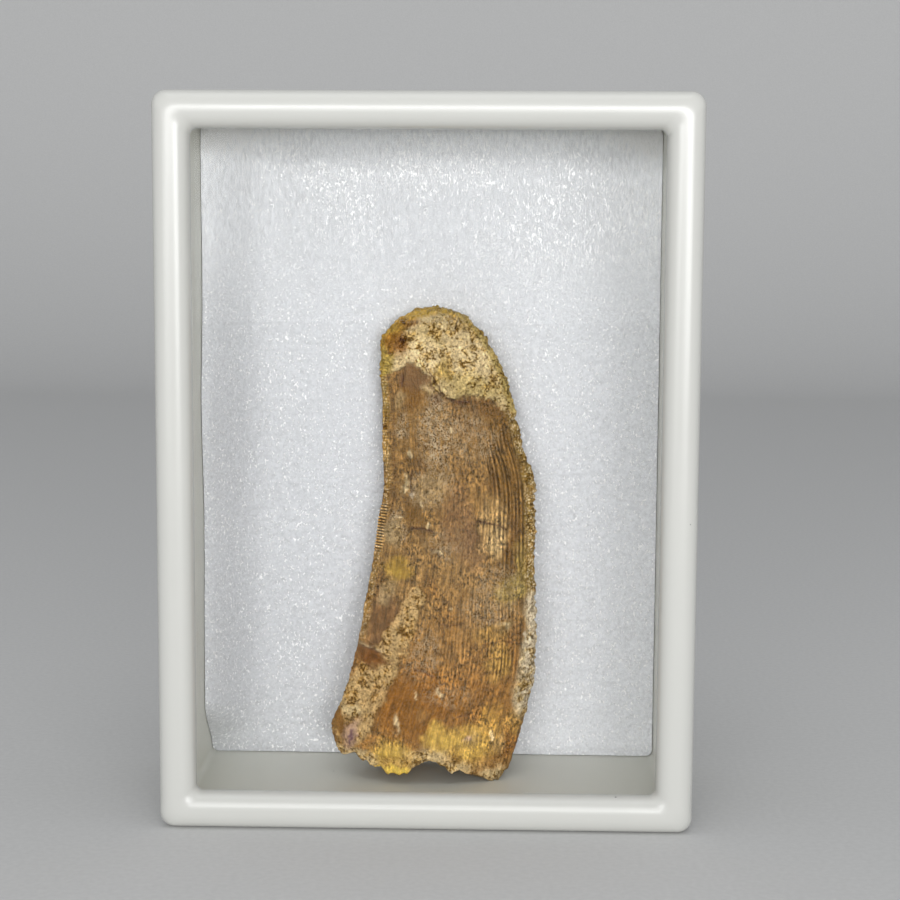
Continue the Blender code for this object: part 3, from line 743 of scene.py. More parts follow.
def plastic(name, colour, roughness):
    """Moulded plastic: a fine uneven gloss, and a few specks of dust."""
    shader = Shader(name)
    place = shader.place()
    cloud = shader.remap(shader.noise(place, CLOUD_SCALE, detail=3.0), *NOISE_SPAN, CLOUD_TONE, 1.0)
    speck = shader.remap(shader.cells(place, SPECK_SCALE), *SPECK_EDGE, SPECK_TONE, 1.0)
    tint = shader.multiply(shader.multiply((*colour, 1.0), cloud), speck)
    gloss = shader.remap(shader.noise(place, GLOSS_SCALE), *NOISE_SPAN,
                         roughness - GLOSS_SPREAD, roughness + GLOSS_SPREAD)
    skin = shader.bump(shader.noise(place, SKIN_SCALE), SKIN_DEPTH, SKIN_STRENGTH)
    shader.set(Base_Color=tint, IOR=1.5, Roughness=gloss, Normal=skin)
    return shader.material


def clear_pane():
    """Polished clear plastic that lets light through to what is behind it."""
    shader = Shader("clear_pane")
    shader.set(Base_Color=PANE_COLOUR, Roughness=0.0, IOR=PANE_IOR, Transmission_Weight=1.0)
    see_through = shader.add("ShaderNodeBsdfTransparent", Color=PANE_CLEAR)
    path = shader.add("ShaderNodeLightPath")
    passing = shader.math("MAXIMUM", path.outputs["Is Shadow Ray"], path.outputs["Is Diffuse Ray"])
    mix = shader.add("ShaderNodeMixShader")
    shader.feed(mix.inputs[0], passing)
    shader.feed(mix.inputs[1], shader.surface.outputs[0])
    shader.feed(mix.inputs[2], see_through.outputs[0])
    shader.feed(shader.output.inputs["Surface"], mix.outputs[0])
    return shader.material


def foam():
    """White closed-cell foam. The glitter of its thin cell walls is painted into its colour as
    white glints, which are also glossier and raised; more and longer ones lie near the top, where
    its cells are drawn out.
    """
    shader = Shader("foam")
    drawn = shader.attribute("drawn")
    place = shader.place()
    tone = shader.mix(drawn, shader.noise(place, *CELLS),
                      shader.noise(shader.place(DRAWN_CELL_SHAPE), *DRAWN_CELLS))
    short = shader.noise(shader.place(GLINT_SHAPE), *GLINTS)
    patch = shader.remap(shader.noise(place, *GLINT_PATCHES), *GLINT_PATCH_RISE)
    stroke = shader.noise(shader.place(DRAWN_GLINT_SHAPE), *DRAWN_GLINTS)
    stroke = shader.math("ADD", stroke, patch)
    # Painted glints: white specks in the colour stand for the glitter of the cell walls, with a
    # smoother gloss there too
    painted_glint = shader.mix(drawn, shader.remap(short, *GLINT_EDGE, smooth=True),
                       shader.remap(stroke, *DRAWN_GLINT_EDGE, smooth=True))
    # The foam's tone runs from FOAM_SHADE in its hollows to FOAM_PALE on its bumps: partly its own
    # uneven tone, partly painted shade
    base = shader.mix(shader.remap(tone, *CELL_TONES), FOAM_SHADE, FOAM_PALE)
    # The painted light and shade from the pad's attribute scales the foam's colour here
    base = shader.darken(shader.multiply(base, shader.attribute("painted_light")), FOAM_LIMIT)
    base = shader.mix(painted_glint, base, WHITE)
    height = shader.math("ADD", shader.math("MULTIPLY", tone, 0.8), painted_glint)
    shader.set(Base_Color=base, Roughness=shader.remap(painted_glint, *GLINT_ROUGHNESS),
               Normal=shader.bump(height, FOAM_BUMP, FOAM_BUMP_STRENGTH))
    return shader.material


def fossil():
    """Fossil enamel with streaks and ridges, and sandy matrix grown onto it."""
    shader = Shader("fossil")
    tint = shader.attribute("tint", "Color")
    grain = shader.attribute("grain")
    ridge = shader.attribute("ridge")
    dust = shader.attribute("dust")
    calm = shader.attribute("calm")
    flow = shader.attribute("flow", "Vector")
    place = shader.place(GRAIN_SHAPE)

    streak = shader.noise(shader.place(STREAK_SHAPE, flow), *STREAKS)
    fine = shader.noise(shader.place(SPECKLE_SHAPE), *SPECKLES)
    mottle = shader.noise(place, *MOTTLES)
    enamel = shader.multiply(tint, shader.remap(streak, *STREAK_TONES))
    enamel = shader.multiply(enamel, shader.remap(mottle, *MOTTLE_TONES))
    speckled = shader.remap(shader.noise(place, *SPECKLED_PATCHES), *SPECKLED_SHARE)
    speckled = shader.math("MULTIPLY", shader.math("MAXIMUM", speckled, dust),
                           shader.math("SUBTRACT", 1.0, calm))
    speckle = shader.mix(speckled, SMOOTH_TONE, shader.remap(fine, *SPECKLE_TONES))
    enamel = shader.multiply(enamel, speckle)

    curl = shader.noise(place, *WORMS)
    worm = shader.math("ABSOLUTE", shader.math("SUBTRACT", curl, 0.5))
    worm = shader.math("MULTIPLY", shader.remap(worm, *WORM_EDGE, smooth=True), dust)
    enamel = shader.mix(shader.math("MULTIPLY", worm, WORM_SHARE), enamel, WORM_COLOUR)
    pore = shader.remap(shader.noise(place, *PORES), *PORE_EDGE, smooth=True)
    enamel = shader.mix(shader.math("MULTIPLY", pore, dust), enamel, PORE_COLOUR)

    # Painted light and shade on the ridges: lighter on their crests and darker between them
    crest = shader.remap(shader.math("COSINE", shader.attribute("phase")), -1.0, 1.0)
    painted_ridge_shading = shader.mix(ridge, WHITE, shader.remap(crest, *RIDGE_PAINTED_SHADING, smooth=True))
    enamel = shader.multiply(enamel, painted_ridge_shading)
    enamel = shader.mix(shader.math("MULTIPLY", calm, CALM_SHARE), enamel, tint)

    grit = shader.noise(place, *GRIT)
    clump = shader.noise(place, *CLUMPS)
    packed = shader.math("ADD", grit, shader.remap(clump, *CLUMP_RISE))
    # Sand is paler on its grains and darker in the gaps between them, where its bumps are low:
    # partly its own colour, partly painted light and shade
    bead = shader.remap(packed, *BEAD_EDGE, smooth=True)
    sand = shader.mix(bead, shader.multiply(tint, GAP_TONE),
                      shader.multiply(tint, shader.remap(grit, *BEAD_TONES)))
    sand = shader.mix(shader.remap(clump, *STAINED_SHARE, smooth=True), sand,
                      shader.multiply(sand, STAINED_TONE))
    sand = shader.multiply(sand, shader.remap(mottle, *SAND_TONES))
    colour = shader.mix(grain, enamel, shader.darken(sand, SAND_LIMIT))

    # Painted light and shade on the saw teeth: lighter on each tooth and darker between them
    saw_wave = shader.math("COSINE", shader.attribute("saw_phase"))
    painted_saw_shading = shader.remap(saw_wave, *SAW_PAINTED_SHADING, smooth=True)
    colour = shader.multiply(colour, shader.mix(shader.attribute("saw"), WHITE, painted_saw_shading))

    rough = shader.mix(grain, shader.remap(fine, *ENAMEL_ROUGHNESS), SAND_ROUGHNESS)
    rough = shader.mix(worm, rough, WORM_ROUGHNESS)
    height = shader.math("MULTIPLY", streak, 0.5)
    for part, share in ((fine, 0.4), (shader.math("MULTIPLY", crest, ridge), 0.5), (worm, 0.25)):
        height = shader.math("ADD", height, shader.math("MULTIPLY", part, share))
    height = shader.mix(grain, height, shader.math("ADD", bead, fine))
    shader.set(Base_Color=colour, Roughness=rough, Specular_IOR_Level=0.05,
               Normal=shader.bump(height, FOSSIL_BUMP, FOSSIL_BUMP_STRENGTH))
    return shader.material


def case_loop(inset, y, radius):
    """A rounded rectangle this far inside the case's outline, at one depth."""
    half_width = CASE_WIDTH / 2 - inset
    low, high = inset, CASE_HEIGHT - inset
    centres = (
        (half_width - radius, high - radius), (radius - half_width, high - radius),
        (radius - half_width, low + radius), (half_width - radius, low + radius),
    )
    loop = []
    for quarter, (cx, cz) in enumerate(centres):
        for step in range(CORNER_STEPS + 1):
            angle = math.radians(90) * (quarter + step / CORNER_STEPS)
            loop.append((cx + radius * math.cos(angle), y, cz + radius * math.sin(angle)))
    return loop


def join_loops(profile, closed_profile):
    """Points and outward faces of the loops along a profile that runs clockwise."""
    points = [point for stop in profile for point in case_loop(*stop)]
    count = len(points) // len(profile)
    faces = []
    for row in range(len(profile) if closed_profile else len(profile) - 1):
        here, there = row * count, (row + 1) % len(profile) * count
        for i in range(count):
            j = (i + 1) % count
            faces.append((here + i, there + i, there + j, here + j))
    if not closed_profile:
        faces.append(tuple(range(count)))
        faces.append(tuple(range(len(points) - 1, len(points) - count - 1, -1)))
    return points, faces


def border_profile():
    """The lid's rounded front border, from its outer foot over the crest to the window."""
    half = LID_BORDER / 2
    foot = CASE_FRONT + BORDER_RISE
    profile = []
    for step in range(BORDER_STEPS + 1):
        angle = math.pi * step / BORDER_STEPS
        across = math.copysign(abs(math.cos(angle)) ** (2 / BORDER_FULLNESS), math.cos(angle))
        rise = math.sin(angle) ** (2 / BORDER_FULLNESS)
        inset = half - half * across
        radius = LID_OUTER_RADIUS + inset / LID_BORDER * (LID_INNER_RADIUS - LID_OUTER_RADIUS)
        profile.append((inset, foot - BORDER_RISE * rise, radius))
    return profile


def make_lid_frame(material):
    profile = border_profile() + [
        (LID_WALL, CASE_FRONT + BORDER_RISE, LID_INNER_RADIUS),
        (LID_WALL, PARTING_Y, LID_INNER_RADIUS),
        (PARTING_CHAMFER, PARTING_Y, LID_OUTER_RADIUS),
        (0.0, PARTING_Y - PARTING_CHAMFER, LID_OUTER_RADIUS),
    ]
    points, faces = join_loops(profile, closed_profile=True)
    piece = new_object("lid_frame_fine", points, faces, material, smooth_angle=40, scale=MM)
    add_piece(piece, "lid_frame")


def make_tray(material):
    rim_front = CASE_FRONT + BORDER_RISE + PANE_THICKNESS + 2 * FIT_GAP
    rim_inset = LID_WALL + FIT_GAP
    flange_front = PARTING_Y + FIT_GAP
    chamfer = PARTING_CHAMFER
    recess_y = CASE_REAR - TRAY_BACK_RECESS
    outer, inner = LID_OUTER_RADIUS, TRAY_INSIDE_RADIUS
    profile = [
        (TRAY_EDGE_WIDTH + TRAY_EDGE_SLOPE, recess_y, inner),
        (TRAY_EDGE_WIDTH, CASE_REAR, inner),
    ]
    for step in range(ROUND_STEPS + 1):
        angle = math.radians(90) * step / ROUND_STEPS
        profile.append((TRAY_EDGE_ROUND * (1 - math.sin(angle)),
                        CASE_REAR - TRAY_EDGE_ROUND * (1 - math.cos(angle)), outer))
    profile += [
        (0.0, flange_front + chamfer, outer),
        (chamfer, flange_front, outer),
        (rim_inset, flange_front, RIM_RADIUS),
        (rim_inset, rim_front + chamfer, RIM_RADIUS),
        (rim_inset + chamfer, rim_front, RIM_RADIUS),
        (TRAY_INSIDE_INSET - chamfer, rim_front, inner),
        (TRAY_INSIDE_INSET, rim_front + chamfer, inner),
        (TRAY_INSIDE_INSET, TRAY_BACK_INSIDE, inner),
    ]
    points, faces = join_loops(profile, closed_profile=False)
    piece = new_object("tray_fine", points, faces, material, smooth_angle=40, scale=MM)
    add_piece(piece, "tray")


def dress(node, material):
    """Give a CAD node a better material."""
    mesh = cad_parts[node].data
    mesh.materials.clear()
    mesh.materials.append(material)


def smoothstep(low, high, value):
    t = np.clip((value - low) / (high - low), 0.0, 1.0)
    return t * t * (3 - 2 * t)


def window(span, fade, value):
    """1 inside a span and 0 outside it, with a smooth change at both ends."""
    low, high = span
    return smoothstep(low, low + fade, value) * (1 - smoothstep(high - fade, high, value))


def bell(value, middle, width):
    """1 at the middle, falling away to 0 on both sides."""
    return np.exp(-(((value - middle) / width) ** 2))


def lumps(places, size, shift=0.0):
    """Smooth noise between about -1 and 1 at each place, whose lumps are about this size."""
    return np.array([noise.noise(spot) for spot in (places / size + shift).tolist()])


def grains(places, size):
    """Height at each place of grains of this size: 0 in their gaps and 1 on top."""
    heights = []
    for spot in (places / size).tolist():
        near, after = noise.voronoi(spot)[0][:2]
        heights.append(min((after - near) * GRAIN_STEEPNESS, 1.0) * (1 - GRAIN_DOME * near))
    return np.array(heights)


def set_attribute(mesh, name, kind, values):
    layer = mesh.attributes.new(name, kind, "POINT")
    field = {"FLOAT": "value", "FLOAT_VECTOR": "vector", "FLOAT_COLOR": "color"}[kind]
    layer.data.foreach_set(field, np.ascontiguousarray(values, dtype=np.float32).ravel())


def make_foam_pad(material):
    half_width = CASE_WIDTH / 2 - TRAY_INSIDE_INSET - PAD_GAP
    half_height = CASE_HEIGHT / 2 - TRAY_INSIDE_INSET - PAD_GAP
    middle = CASE_HEIGHT / 2
    across, up = np.meshgrid(np.linspace(-1, 1, PAD_COLUMNS), np.linspace(-1, 1, PAD_ROWS))
    x, z = (across * half_width).ravel(), (middle + up * half_height).ravel()
    corner_x = np.abs(x) - (half_width - TRAY_INSIDE_RADIUS)
    corner_z = np.abs(z - middle) - (half_height - TRAY_INSIDE_RADIUS)
    reach = np.hypot(np.maximum(corner_x, 0), np.maximum(corner_z, 0))
    cut = (corner_x > 0) & (corner_z > 0) & (reach > TRAY_INSIDE_RADIUS)
    excess = np.where(cut, 1 - TRAY_INSIDE_RADIUS / np.maximum(reach, TRAY_INSIDE_RADIUS), 0.0)
    x -= np.sign(x) * corner_x * excess
    z -= np.sign(z - middle) * corner_z * excess

    flat = np.column_stack([x, np.zeros_like(x), z])
    dent = DENT_DEPTH * np.exp(-((x - DENT_CENTRE[0]) / DENT_REACH[0]) ** 2
                               - ((z - DENT_CENTRE[1]) / DENT_REACH[1]) ** 2)
    y = PAD_FRONT + PAD_WAVE * lumps(flat, PAD_WAVE_LENGTH) + dent
    curl = smoothstep(0, CURL_FADE, z - middle + half_height)
    curl *= 0.85 + 0.3 * lumps(flat, *CURL_LUMPS)
    y -= CURL_HEIGHT * curl * bell(x, -half_width, CURL_REACH)
    drawn = smoothstep(*DRAWN_FOOT, z + 6 * lumps(flat, *DRAWN_LUMPS))
    y -= PAD_CELL_HEIGHT * (1 - drawn) * lumps(flat, *PAD_CELLS)
    y -= PAD_LUMP_HEIGHT * lumps(flat, *PAD_LUMPS)
    y -= PAD_STROKE_HEIGHT * drawn * lumps(flat * PAD_STROKE_SHAPE, *PAD_STROKES)

    points = np.column_stack([x, y, z])
    index = np.arange(PAD_COLUMNS * PAD_ROWS).reshape(PAD_ROWS, PAD_COLUMNS)
    faces = np.stack([index[:-1, :-1], index[:-1, 1:], index[1:, 1:], index[1:, :-1]], axis=-1)
    faces = faces.reshape(-1, 4).tolist()
    rim = [*index[0, :], *index[1:, -1], *index[-1, -2::-1], *index[-2:0:-1, 0]]
    start = len(points)
    back = points[rim] * (1, 0, 1) + (0, PAD_REAR, 0)
    points = np.vstack([points, back])
    for k, front_point in enumerate(rim):
        after = (k + 1) % len(rim)
        faces.append((int(front_point), start + k, start + after, int(rim[after])))
    faces.append(tuple(range(start + len(rim) - 1, start - 1, -1)))
    piece = new_object("foam_pad_fine", points, faces, material, smooth_angle=60, scale=MM)
    set_attribute(piece.data, "drawn", "FLOAT", np.append(drawn, drawn[rim]))
    # Painted light: the foam's colour is made lighter along its top and sides where the case shades
    # it, lighter to its lower right and darker to its lower left, and a little darker where its
    # cells are drawn out
    below_top = middle + half_height - z
    beside_wall = half_width - np.abs(x)
    painted_light = 1 - DRAWN_PAINTED_SHADE * drawn + TOP_PAINTED_LIGHT * bell(below_top, 0.0, TOP_PAINTED_LIGHT_REACH)
    painted_light += LOW_RIGHT_PAINTED_LIGHT * (x / half_width) * (below_top / (2 * half_height))
    side = SIDE_PAINTED_LIGHT + DRAWN_SIDE_PAINTED_LIGHT * drawn
    painted_light += side * bell(beside_wall, 0.0, SIDE_PAINTED_LIGHT_REACH)
    set_attribute(piece.data, "painted_light", "FLOAT", np.append(painted_light, painted_light[rim]))
    add_piece(piece, "foam_pad")


def smooth_curve(points, steps=12):
    """A smooth curve through the given points, as an array of its sampled points."""
    points = np.array(points, dtype=float)
    padded = np.vstack([2 * points[0] - points[1], points, 2 * points[-1] - points[-2]])
    t = np.linspace(0.0, 1.0, steps, endpoint=False)[:, None]
    pieces = []
    for a, b, c, d in zip(padded, padded[1:], padded[2:], padded[3:]):
        pieces.append(0.5 * (2 * b + (c - a) * t + (2 * a - 5 * b + 4 * c - d) * t**2
                             + (3 * b - a - 3 * c + d) * t**3))
    return np.vstack(pieces + [points[-1:]])


def height_table(points):
    """A lookup of the first value by the second, height, for a list of pairs."""
    curve = smooth_curve(points)
    return lambda z: np.interp(z, curve[:, 1], curve[:, 0])


def across_table(points):
    """A lookup of the second value by the first, x, for a list of pairs."""
    curve = smooth_curve(points)
    return lambda x: np.interp(x, curve[:, 0], curve[:, 1])


left_edge = height_table(TOOTH_LEFT_EDGE)
right_edge = height_table(TOOTH_RIGHT_EDGE)
front_foot = across_table(ROOT_FRONT_EDGE)
back_foot = across_table(ROOT_BACK_EDGE)
cap_border = across_table(CAP_BORDER)
half_thickness = height_table(TOOTH_HALF_THICKNESS)


def middle_depth(z):
    """Depth of the tooth's middle plane, which leans back from the foot to the tip."""
    (foot_y, foot_z), (tip_y, tip_z) = TOOTH_LEAN_FOOT, TOOTH_LEAN_TIP
    return foot_y + (tip_y - foot_y) * (z - foot_z) / (tip_z - foot_z)


def line_distance(x, z, start, end):
    """Distance from each place to a stretch between two points, and the share along it."""
    run = np.array(end) - np.array(start)
    t = ((x - start[0]) * run[0] + (z - start[1]) * run[1]) / np.dot(run, run)
    t = np.clip(t, 0.0, 1.0)
    return np.hypot(x - start[0] - t * run[0], z - start[1] - t * run[1]), t


def band_depth(x, z):
    """How far inside the broken band a place is: 1 on its middle line, 0 outside it."""
    inside = np.zeros_like(x)
    for (ax, az, a_half), (bx, bz, b_half) in zip(BROKEN_BAND, BROKEN_BAND[1:]):
        distance, t = line_distance(x, z, (ax, az), (bx, bz))
        half = a_half + t * (b_half - a_half)
        share = smoothstep(BROKEN_FLOOR, BROKEN_LIP, distance / half)
        inside = np.maximum(inside, 1 - share)
    return inside


def oval(x, z, middle_x, middle_z, half_width, half_height, turn, soft=0.45):
    """1 inside a turned oval and 0 outside it, with a border this soft."""
    angle = math.radians(turn)
    away_x, away_z = x - middle_x, z - middle_z
    across = (away_x * math.cos(angle) + away_z * math.sin(angle)) / half_width
    along = (away_z * math.cos(angle) - away_x * math.sin(angle)) / half_height
    return 1 - smoothstep(1 - soft, 1 + soft, np.hypot(across, along))


class ToothSkin:
    """The tooth's surface as a grid: rows go up, and columns go around from the left edge."""

    def __init__(self):
        fine = np.linspace(ROOT_LEVEL, TIP_START, ROW_SAMPLES)
        weight = 1 + FINE_SHARE * ((fine > FINE_RANGE[0]) & (fine < FINE_RANGE[1]))
        along = np.cumsum(weight)
        stops = np.linspace(along[0], along[-1], BODY_ROWS)
        body = np.interp(stops, along, fine)
        tip_height = TOOTH_LEFT_EDGE[-1][1] - TIP_START
        turn = np.linspace(0, math.radians(TIP_TURN), TIP_ROWS + 1)[1:]
        levels = np.append(body, TIP_START + tip_height * np.sin(turn))
        front = self.column_shares(FRONT_COLUMNS)
        back = self.column_shares(BACK_COLUMNS)[-2:0:-1]
        shares = np.append(front, back)
        self.rows, self.columns = len(levels), len(shares)
        self.share, self.level = (grid.ravel() for grid in np.meshgrid(shares, levels))
        self.front = np.tile(np.arange(self.columns) < len(front), self.rows)
        self.build_form()

    @staticmethod
    def column_shares(count):
        """Shares from 0 to 1, closer together at both edges."""
        even = np.linspace(0.0, 1.0, count + 1)
        eased = 0.5 - 0.5 * np.cos(math.pi * even)
        return even + EDGE_CLUSTER * (eased - even)

    def build_form(self):
        """The same form as the plain solid, on this finer grid."""
        share, level = self.share, self.level
        left_foot, right_foot = TOOTH_LEFT_EDGE[0][0], TOOTH_RIGHT_EDGE[0][0]
        foot_x = left_foot + share * (right_foot - left_foot)
        fade = np.maximum(1 - (level - ROOT_LEVEL) / (ROOT_BLEND_TOP - ROOT_LEVEL), 0.0) ** 2

        def raised(x):
            foot = np.where(self.front, front_foot(x), back_foot(x))
            return level + fade * (foot - ROOT_LEVEL)

        z = raised(foot_x)
        x_left, x_right = left_edge(raised(left_foot)), right_edge(raised(right_foot))
        x = x_left + share * (x_right - x_left)
        rooted = 1 - smoothstep(ROOT_LEVEL, CROWN_LEVEL, level)
        peak = CROWN_PEAK + rooted * (ROOT_PEAK - CROWN_PEAK)
        fullness = CROWN_FULLNESS + rooted * (ROOT_FULLNESS - CROWN_FULLNESS)
        section = np.maximum(np.sin(math.pi * share**peak), 0.0) ** fullness
        self.x, self.z = x, z
        self.find_masks()
        out = half_thickness(level) * section
        out += self.relief() * np.minimum(section / EDGE_CALM, 1.0)
        y = middle_depth(z) + np.where(self.front, -out, out)
        self.points = np.column_stack([x, y, z])

    def find_masks(self):
        """Where the matrix cap, the broken band, sand and dust lie."""
        side = np.where(self.front, 0.0, BACK_NOISE_SHIFT)
        self.flat = np.column_stack([self.x, side, self.z])
        warp, warp_across = (WARP * lumps(self.flat, WARP_SIZE, shift)
                             + FINE_WARP * lumps(self.flat, FINE_WARP_SIZE, shift)
                             for shift in WARP_SHIFTS)
        self.warped = self.x + warp, self.z + warp_across
        x, z = self.warped
        self.cap = smoothstep(-CAP_LEDGE / 2, CAP_LEDGE / 2, z - cap_border(x))
        ragged = 0.75 * lumps(self.flat, *BAND_LUMPS)
        ragged += 0.45 * lumps(self.flat, *FINE_BAND_LUMPS)
        self.band = np.clip(1.5 * band_depth(x, z) - 0.35 + ragged, 0.0, 1.0) * self.front
        self.band *= band_depth(x, z) > 0.02
        edge = [*smooth_curve(TOOTH_LEFT_EDGE, 48), *smooth_curve(TOOTH_RIGHT_EDGE, 48)]
        outline = kdtree.KDTree(len(edge))
        for number, (edge_x, edge_z) in enumerate(edge):
            outline.insert((edge_x, edge_z, 0.0), number)
        outline.balance()
        self.inside = np.array([outline.find((a, b, 0.0))[2] for a, b in zip(self.x, self.z)])

    def relief(self):
        """Height of the surface over its plain lens form, outwards."""
        share, x, z = self.share, self.x, self.z
        height = self.cap * (CAP_RISE + CAP_LUMP * lumps(self.flat, CAP_LUMP_SIZE))
        on_root = 1 - smoothstep(ROOT_LUMP_TOP * 0.5, ROOT_LUMP_TOP, z)
        height += on_root * ROOT_LUMP * lumps(self.flat, ROOT_LUMP_SIZE)
        turns = FLUTE_COUNT * np.maximum(share - FLUTE_START, 0.0) / (1 - FLUTE_START)
        height -= window(FLUTE_RANGE, FLUTE_FADE, z) * FLUTE_DEPTH * np.sin(math.pi * turns) ** 2
        groove = bell(share, EDGE_GROOVE_SHARE, EDGE_GROOVE_WIDTH)
        groove *= window(EDGE_GROOVE_RANGE, EDGE_GROOVE_FADE, z)
        height -= EDGE_GROOVE_DEPTH * groove
        height -= BROKEN_DEPTH * self.band
        for middle_x, middle_z, half_width, half_height, rise in PATCHES:
            away = ((x - middle_x) / half_width) ** 2 + ((z - middle_z) / half_height) ** 2
            height += self.front * rise * np.exp(-(away**2))
        return height

    def normals(self):
        grid = self.points.reshape(self.rows, self.columns, 3)
        around = np.roll(grid, -1, axis=1) - np.roll(grid, 1, axis=1)
        upward = np.gradient(grid, axis=0)
        normal = np.cross(around, upward)
        normal /= np.maximum(np.linalg.norm(normal, axis=-1, keepdims=True), 1e-9)
        return normal.reshape(-1, 3)

    def spots(self, table):
        """The largest amount of any soft oval in a table at each place."""
        x, z = self.warped
        amount = np.zeros_like(x)
        for *shape, strength in table:
            amount = np.maximum(amount, strength * oval(x, z, *shape))
        return amount * self.front

    def paint(self, tone, share):
        colour = seen_tone(tone)
        self.tint += share[:, None] * (colour - self.tint)

    def largest(self, table):
        """The largest of the ovals in a table at each place on the front."""
        return self.on_front * np.maximum.reduce([oval(*self.warped, *shape) for shape in table])

    def finish(self):
        """Fine relief along the surface's own direction, and the colours with it."""
        self.find_noise()
        self.find_crusts()
        self.find_grain()
        self.find_ridges()
        self.find_saw()
        self.find_cracks()
        self.raise_relief()
        self.bend_outline()
        self.tint = np.tile(seen_tone("enamel"), (len(self.x), 1))
        self.paint_enamel()
        self.paint_edges()
        self.paint_sand()
        self.paint_cap()
        self.paint_marks()

    def find_noise(self):
        """Noise of four sizes, and how far each place is from the left and right edges."""
        self.on_front = self.front.astype(float)
        self.from_left = self.x - left_edge(self.z)
        self.from_right = right_edge(self.z) - self.x
        self.broad = lumps(self.flat, *BROAD)
        self.medium = lumps(self.flat, *MEDIUM)
        self.small = lumps(self.flat, *SMALL)
        self.tiny = lumps(self.flat, *TINY)

    def find_crusts(self):
        """Where matrix lies along the edges, on the cap's rim, at the foot and on the back."""
        x, z, medium, small = self.x, self.z, self.medium, self.small
        width = 1.0 + 0.5 * window(*WIDE_CRUST_SPAN, z)
        crust = 1 - smoothstep(*CRUST_EDGE, self.from_right / width + 0.7 * medium)
        self.right_crust = crust * window(*CRUST_SPAN, z)
        strip = 1 - smoothstep(*STRIP_EDGE, self.inside + 0.5 * medium + 0.4 * small)
        strip *= (self.from_left < STRIP_WIDTH) * window(*STRIP_SPAN, z)
        self.left_strip = strip * self.on_front
        width = 1.6 + 1.2 * (1 - smoothstep(*WIDE_CAP_RIM, x))
        start, end = (share * width for share in CAP_RIM_SHARES)
        rim = 1 - smoothstep(start, end, self.inside + 0.8 * medium + 0.4 * small)
        self.cap_rim = self.cap * rim * (1 - smoothstep(*CAP_RIM_END, x))
        self.foot = 1 - smoothstep(*FOOT_EDGE, self.level - ROOT_LEVEL + 1.2 * medium)
        sandy = smoothstep(*BACK_SAND_EDGE, self.broad + 0.6 * medium)
        self.back_sand = 0.8 * (1 - self.on_front) * sandy

    def find_grain(self):
        """How sandy, how dusty and how calm each place is."""
        grain = np.maximum.reduce([
            self.cap * (1 - 0.6 * self.cap_rim), self.band, 0.9 * self.right_crust,
            self.left_strip * np.clip(0.5 + 1.5 * self.medium, 0, 1), self.spots(SANDS),
            0.7 * self.foot, self.back_sand,
        ])
        self.grain = np.clip(grain * (1 - 0.85 * self.largest(GRAINLESS_SPOTS)), 0, 1)
        dust = self.spots(DUSTS) * (0.6 + 0.8 * self.small) + 0.12
        self.dust = np.clip(dust, 0, 1) * (1 - self.grain)
        self.calm = self.spots(CALM_SPOTS)

    def flow_lumps(self, width, height, shift):
        """Noise along the ridges, whose lumps have this width and height."""
        across = self.share * FLOW_WIDTH / width
        return lumps(np.column_stack([across, self.z / height, self.flat[:, 1]]), 1.0, shift)

    def find_ridges(self):
        """The fine ridges along the tooth, which lie in bands and break off here and there."""
        z, medium = self.z, self.medium
        self.flow = np.column_stack([self.share * FLOW_WIDTH, self.level, self.flat[:, 1]])
        pitch = np.where(z > LOW_RIDGES_TOP, RIDGE_PITCH, LOW_RIDGE_PITCH)
        self.phase = 2 * math.pi * self.share * FLOW_WIDTH / pitch
        self.phase += 0.5 * (medium + self.broad + self.tiny) + 2.4 * self.flow_lumps(*RIDGE_BENDS)
        upper = smoothstep(*UPPER_RIDGE_EDGE, self.share + 0.06 * medium)
        lower = smoothstep(*LOWER_RIDGE_EDGE, self.share + 0.1 * medium)
        gold = self.on_front * oval(self.x, z, *GOLD_FACE)
        self.bared = self.on_front * oval(*self.warped, *BARED_FACE)
        ridge = np.maximum.reduce([
            upper * window(*UPPER_RIDGE_SPAN, z), 0.34 * lower * window(*LOWER_RIDGE_SPAN, z),
            0.8 * gold, 0.6 * self.bared,
        ])
        whole = 0.75 + 1.3 * self.flow_lumps(*RIDGE_LINES) + 0.5 * self.small
        whole += 0.9 * medium * (z < LOW_RIDGES_TOP)
        self.ridge = np.clip(ridge * whole, 0, 1) * (1 - self.grain)

    def find_saw(self):
        """The saw teeth of the left edge, which are crisp in one stretch and worn elsewhere."""
        z, from_left = self.z, self.from_left
        saw = (1 - smoothstep(*SAW_EDGE, from_left)) * window(*SAW_SPAN, z)
        self.crisp = window(*CRISP_SAW_SPAN, z)
        faint = 0.1 * (1 - smoothstep(*FAINT_SAW_EDGE, from_left)) * window(*FAINT_SAW_SPAN, z)
        self.saw = np.clip(np.maximum(saw * (0.22 + 0.78 * self.crisp), faint), 0, 1)
        self.saw_phase = 2 * math.pi * (z + DENTICLE_SLANT * from_left) / DENTICLE_PITCH

    def find_cracks(self):
        """How far each place lies in a crack, and in a pit of the cap."""
        x = self.x + CRACK_WANDER * self.small
        z = self.z + CRACK_WANDER * self.tiny
        self.crack = np.zeros_like(x)
        for depth, *stops in CRACKS:
            for start, end in zip(stops, stops[1:]):
                distance, _ = line_distance(x, z, start, end)
                here = depth / CRACK_FULL_DEPTH * bell(distance, 0.0, CRACK_WIDTH)
                self.crack = np.maximum(self.crack, here)
        self.crack *= self.on_front
        self.pit = self.largest(PITS)

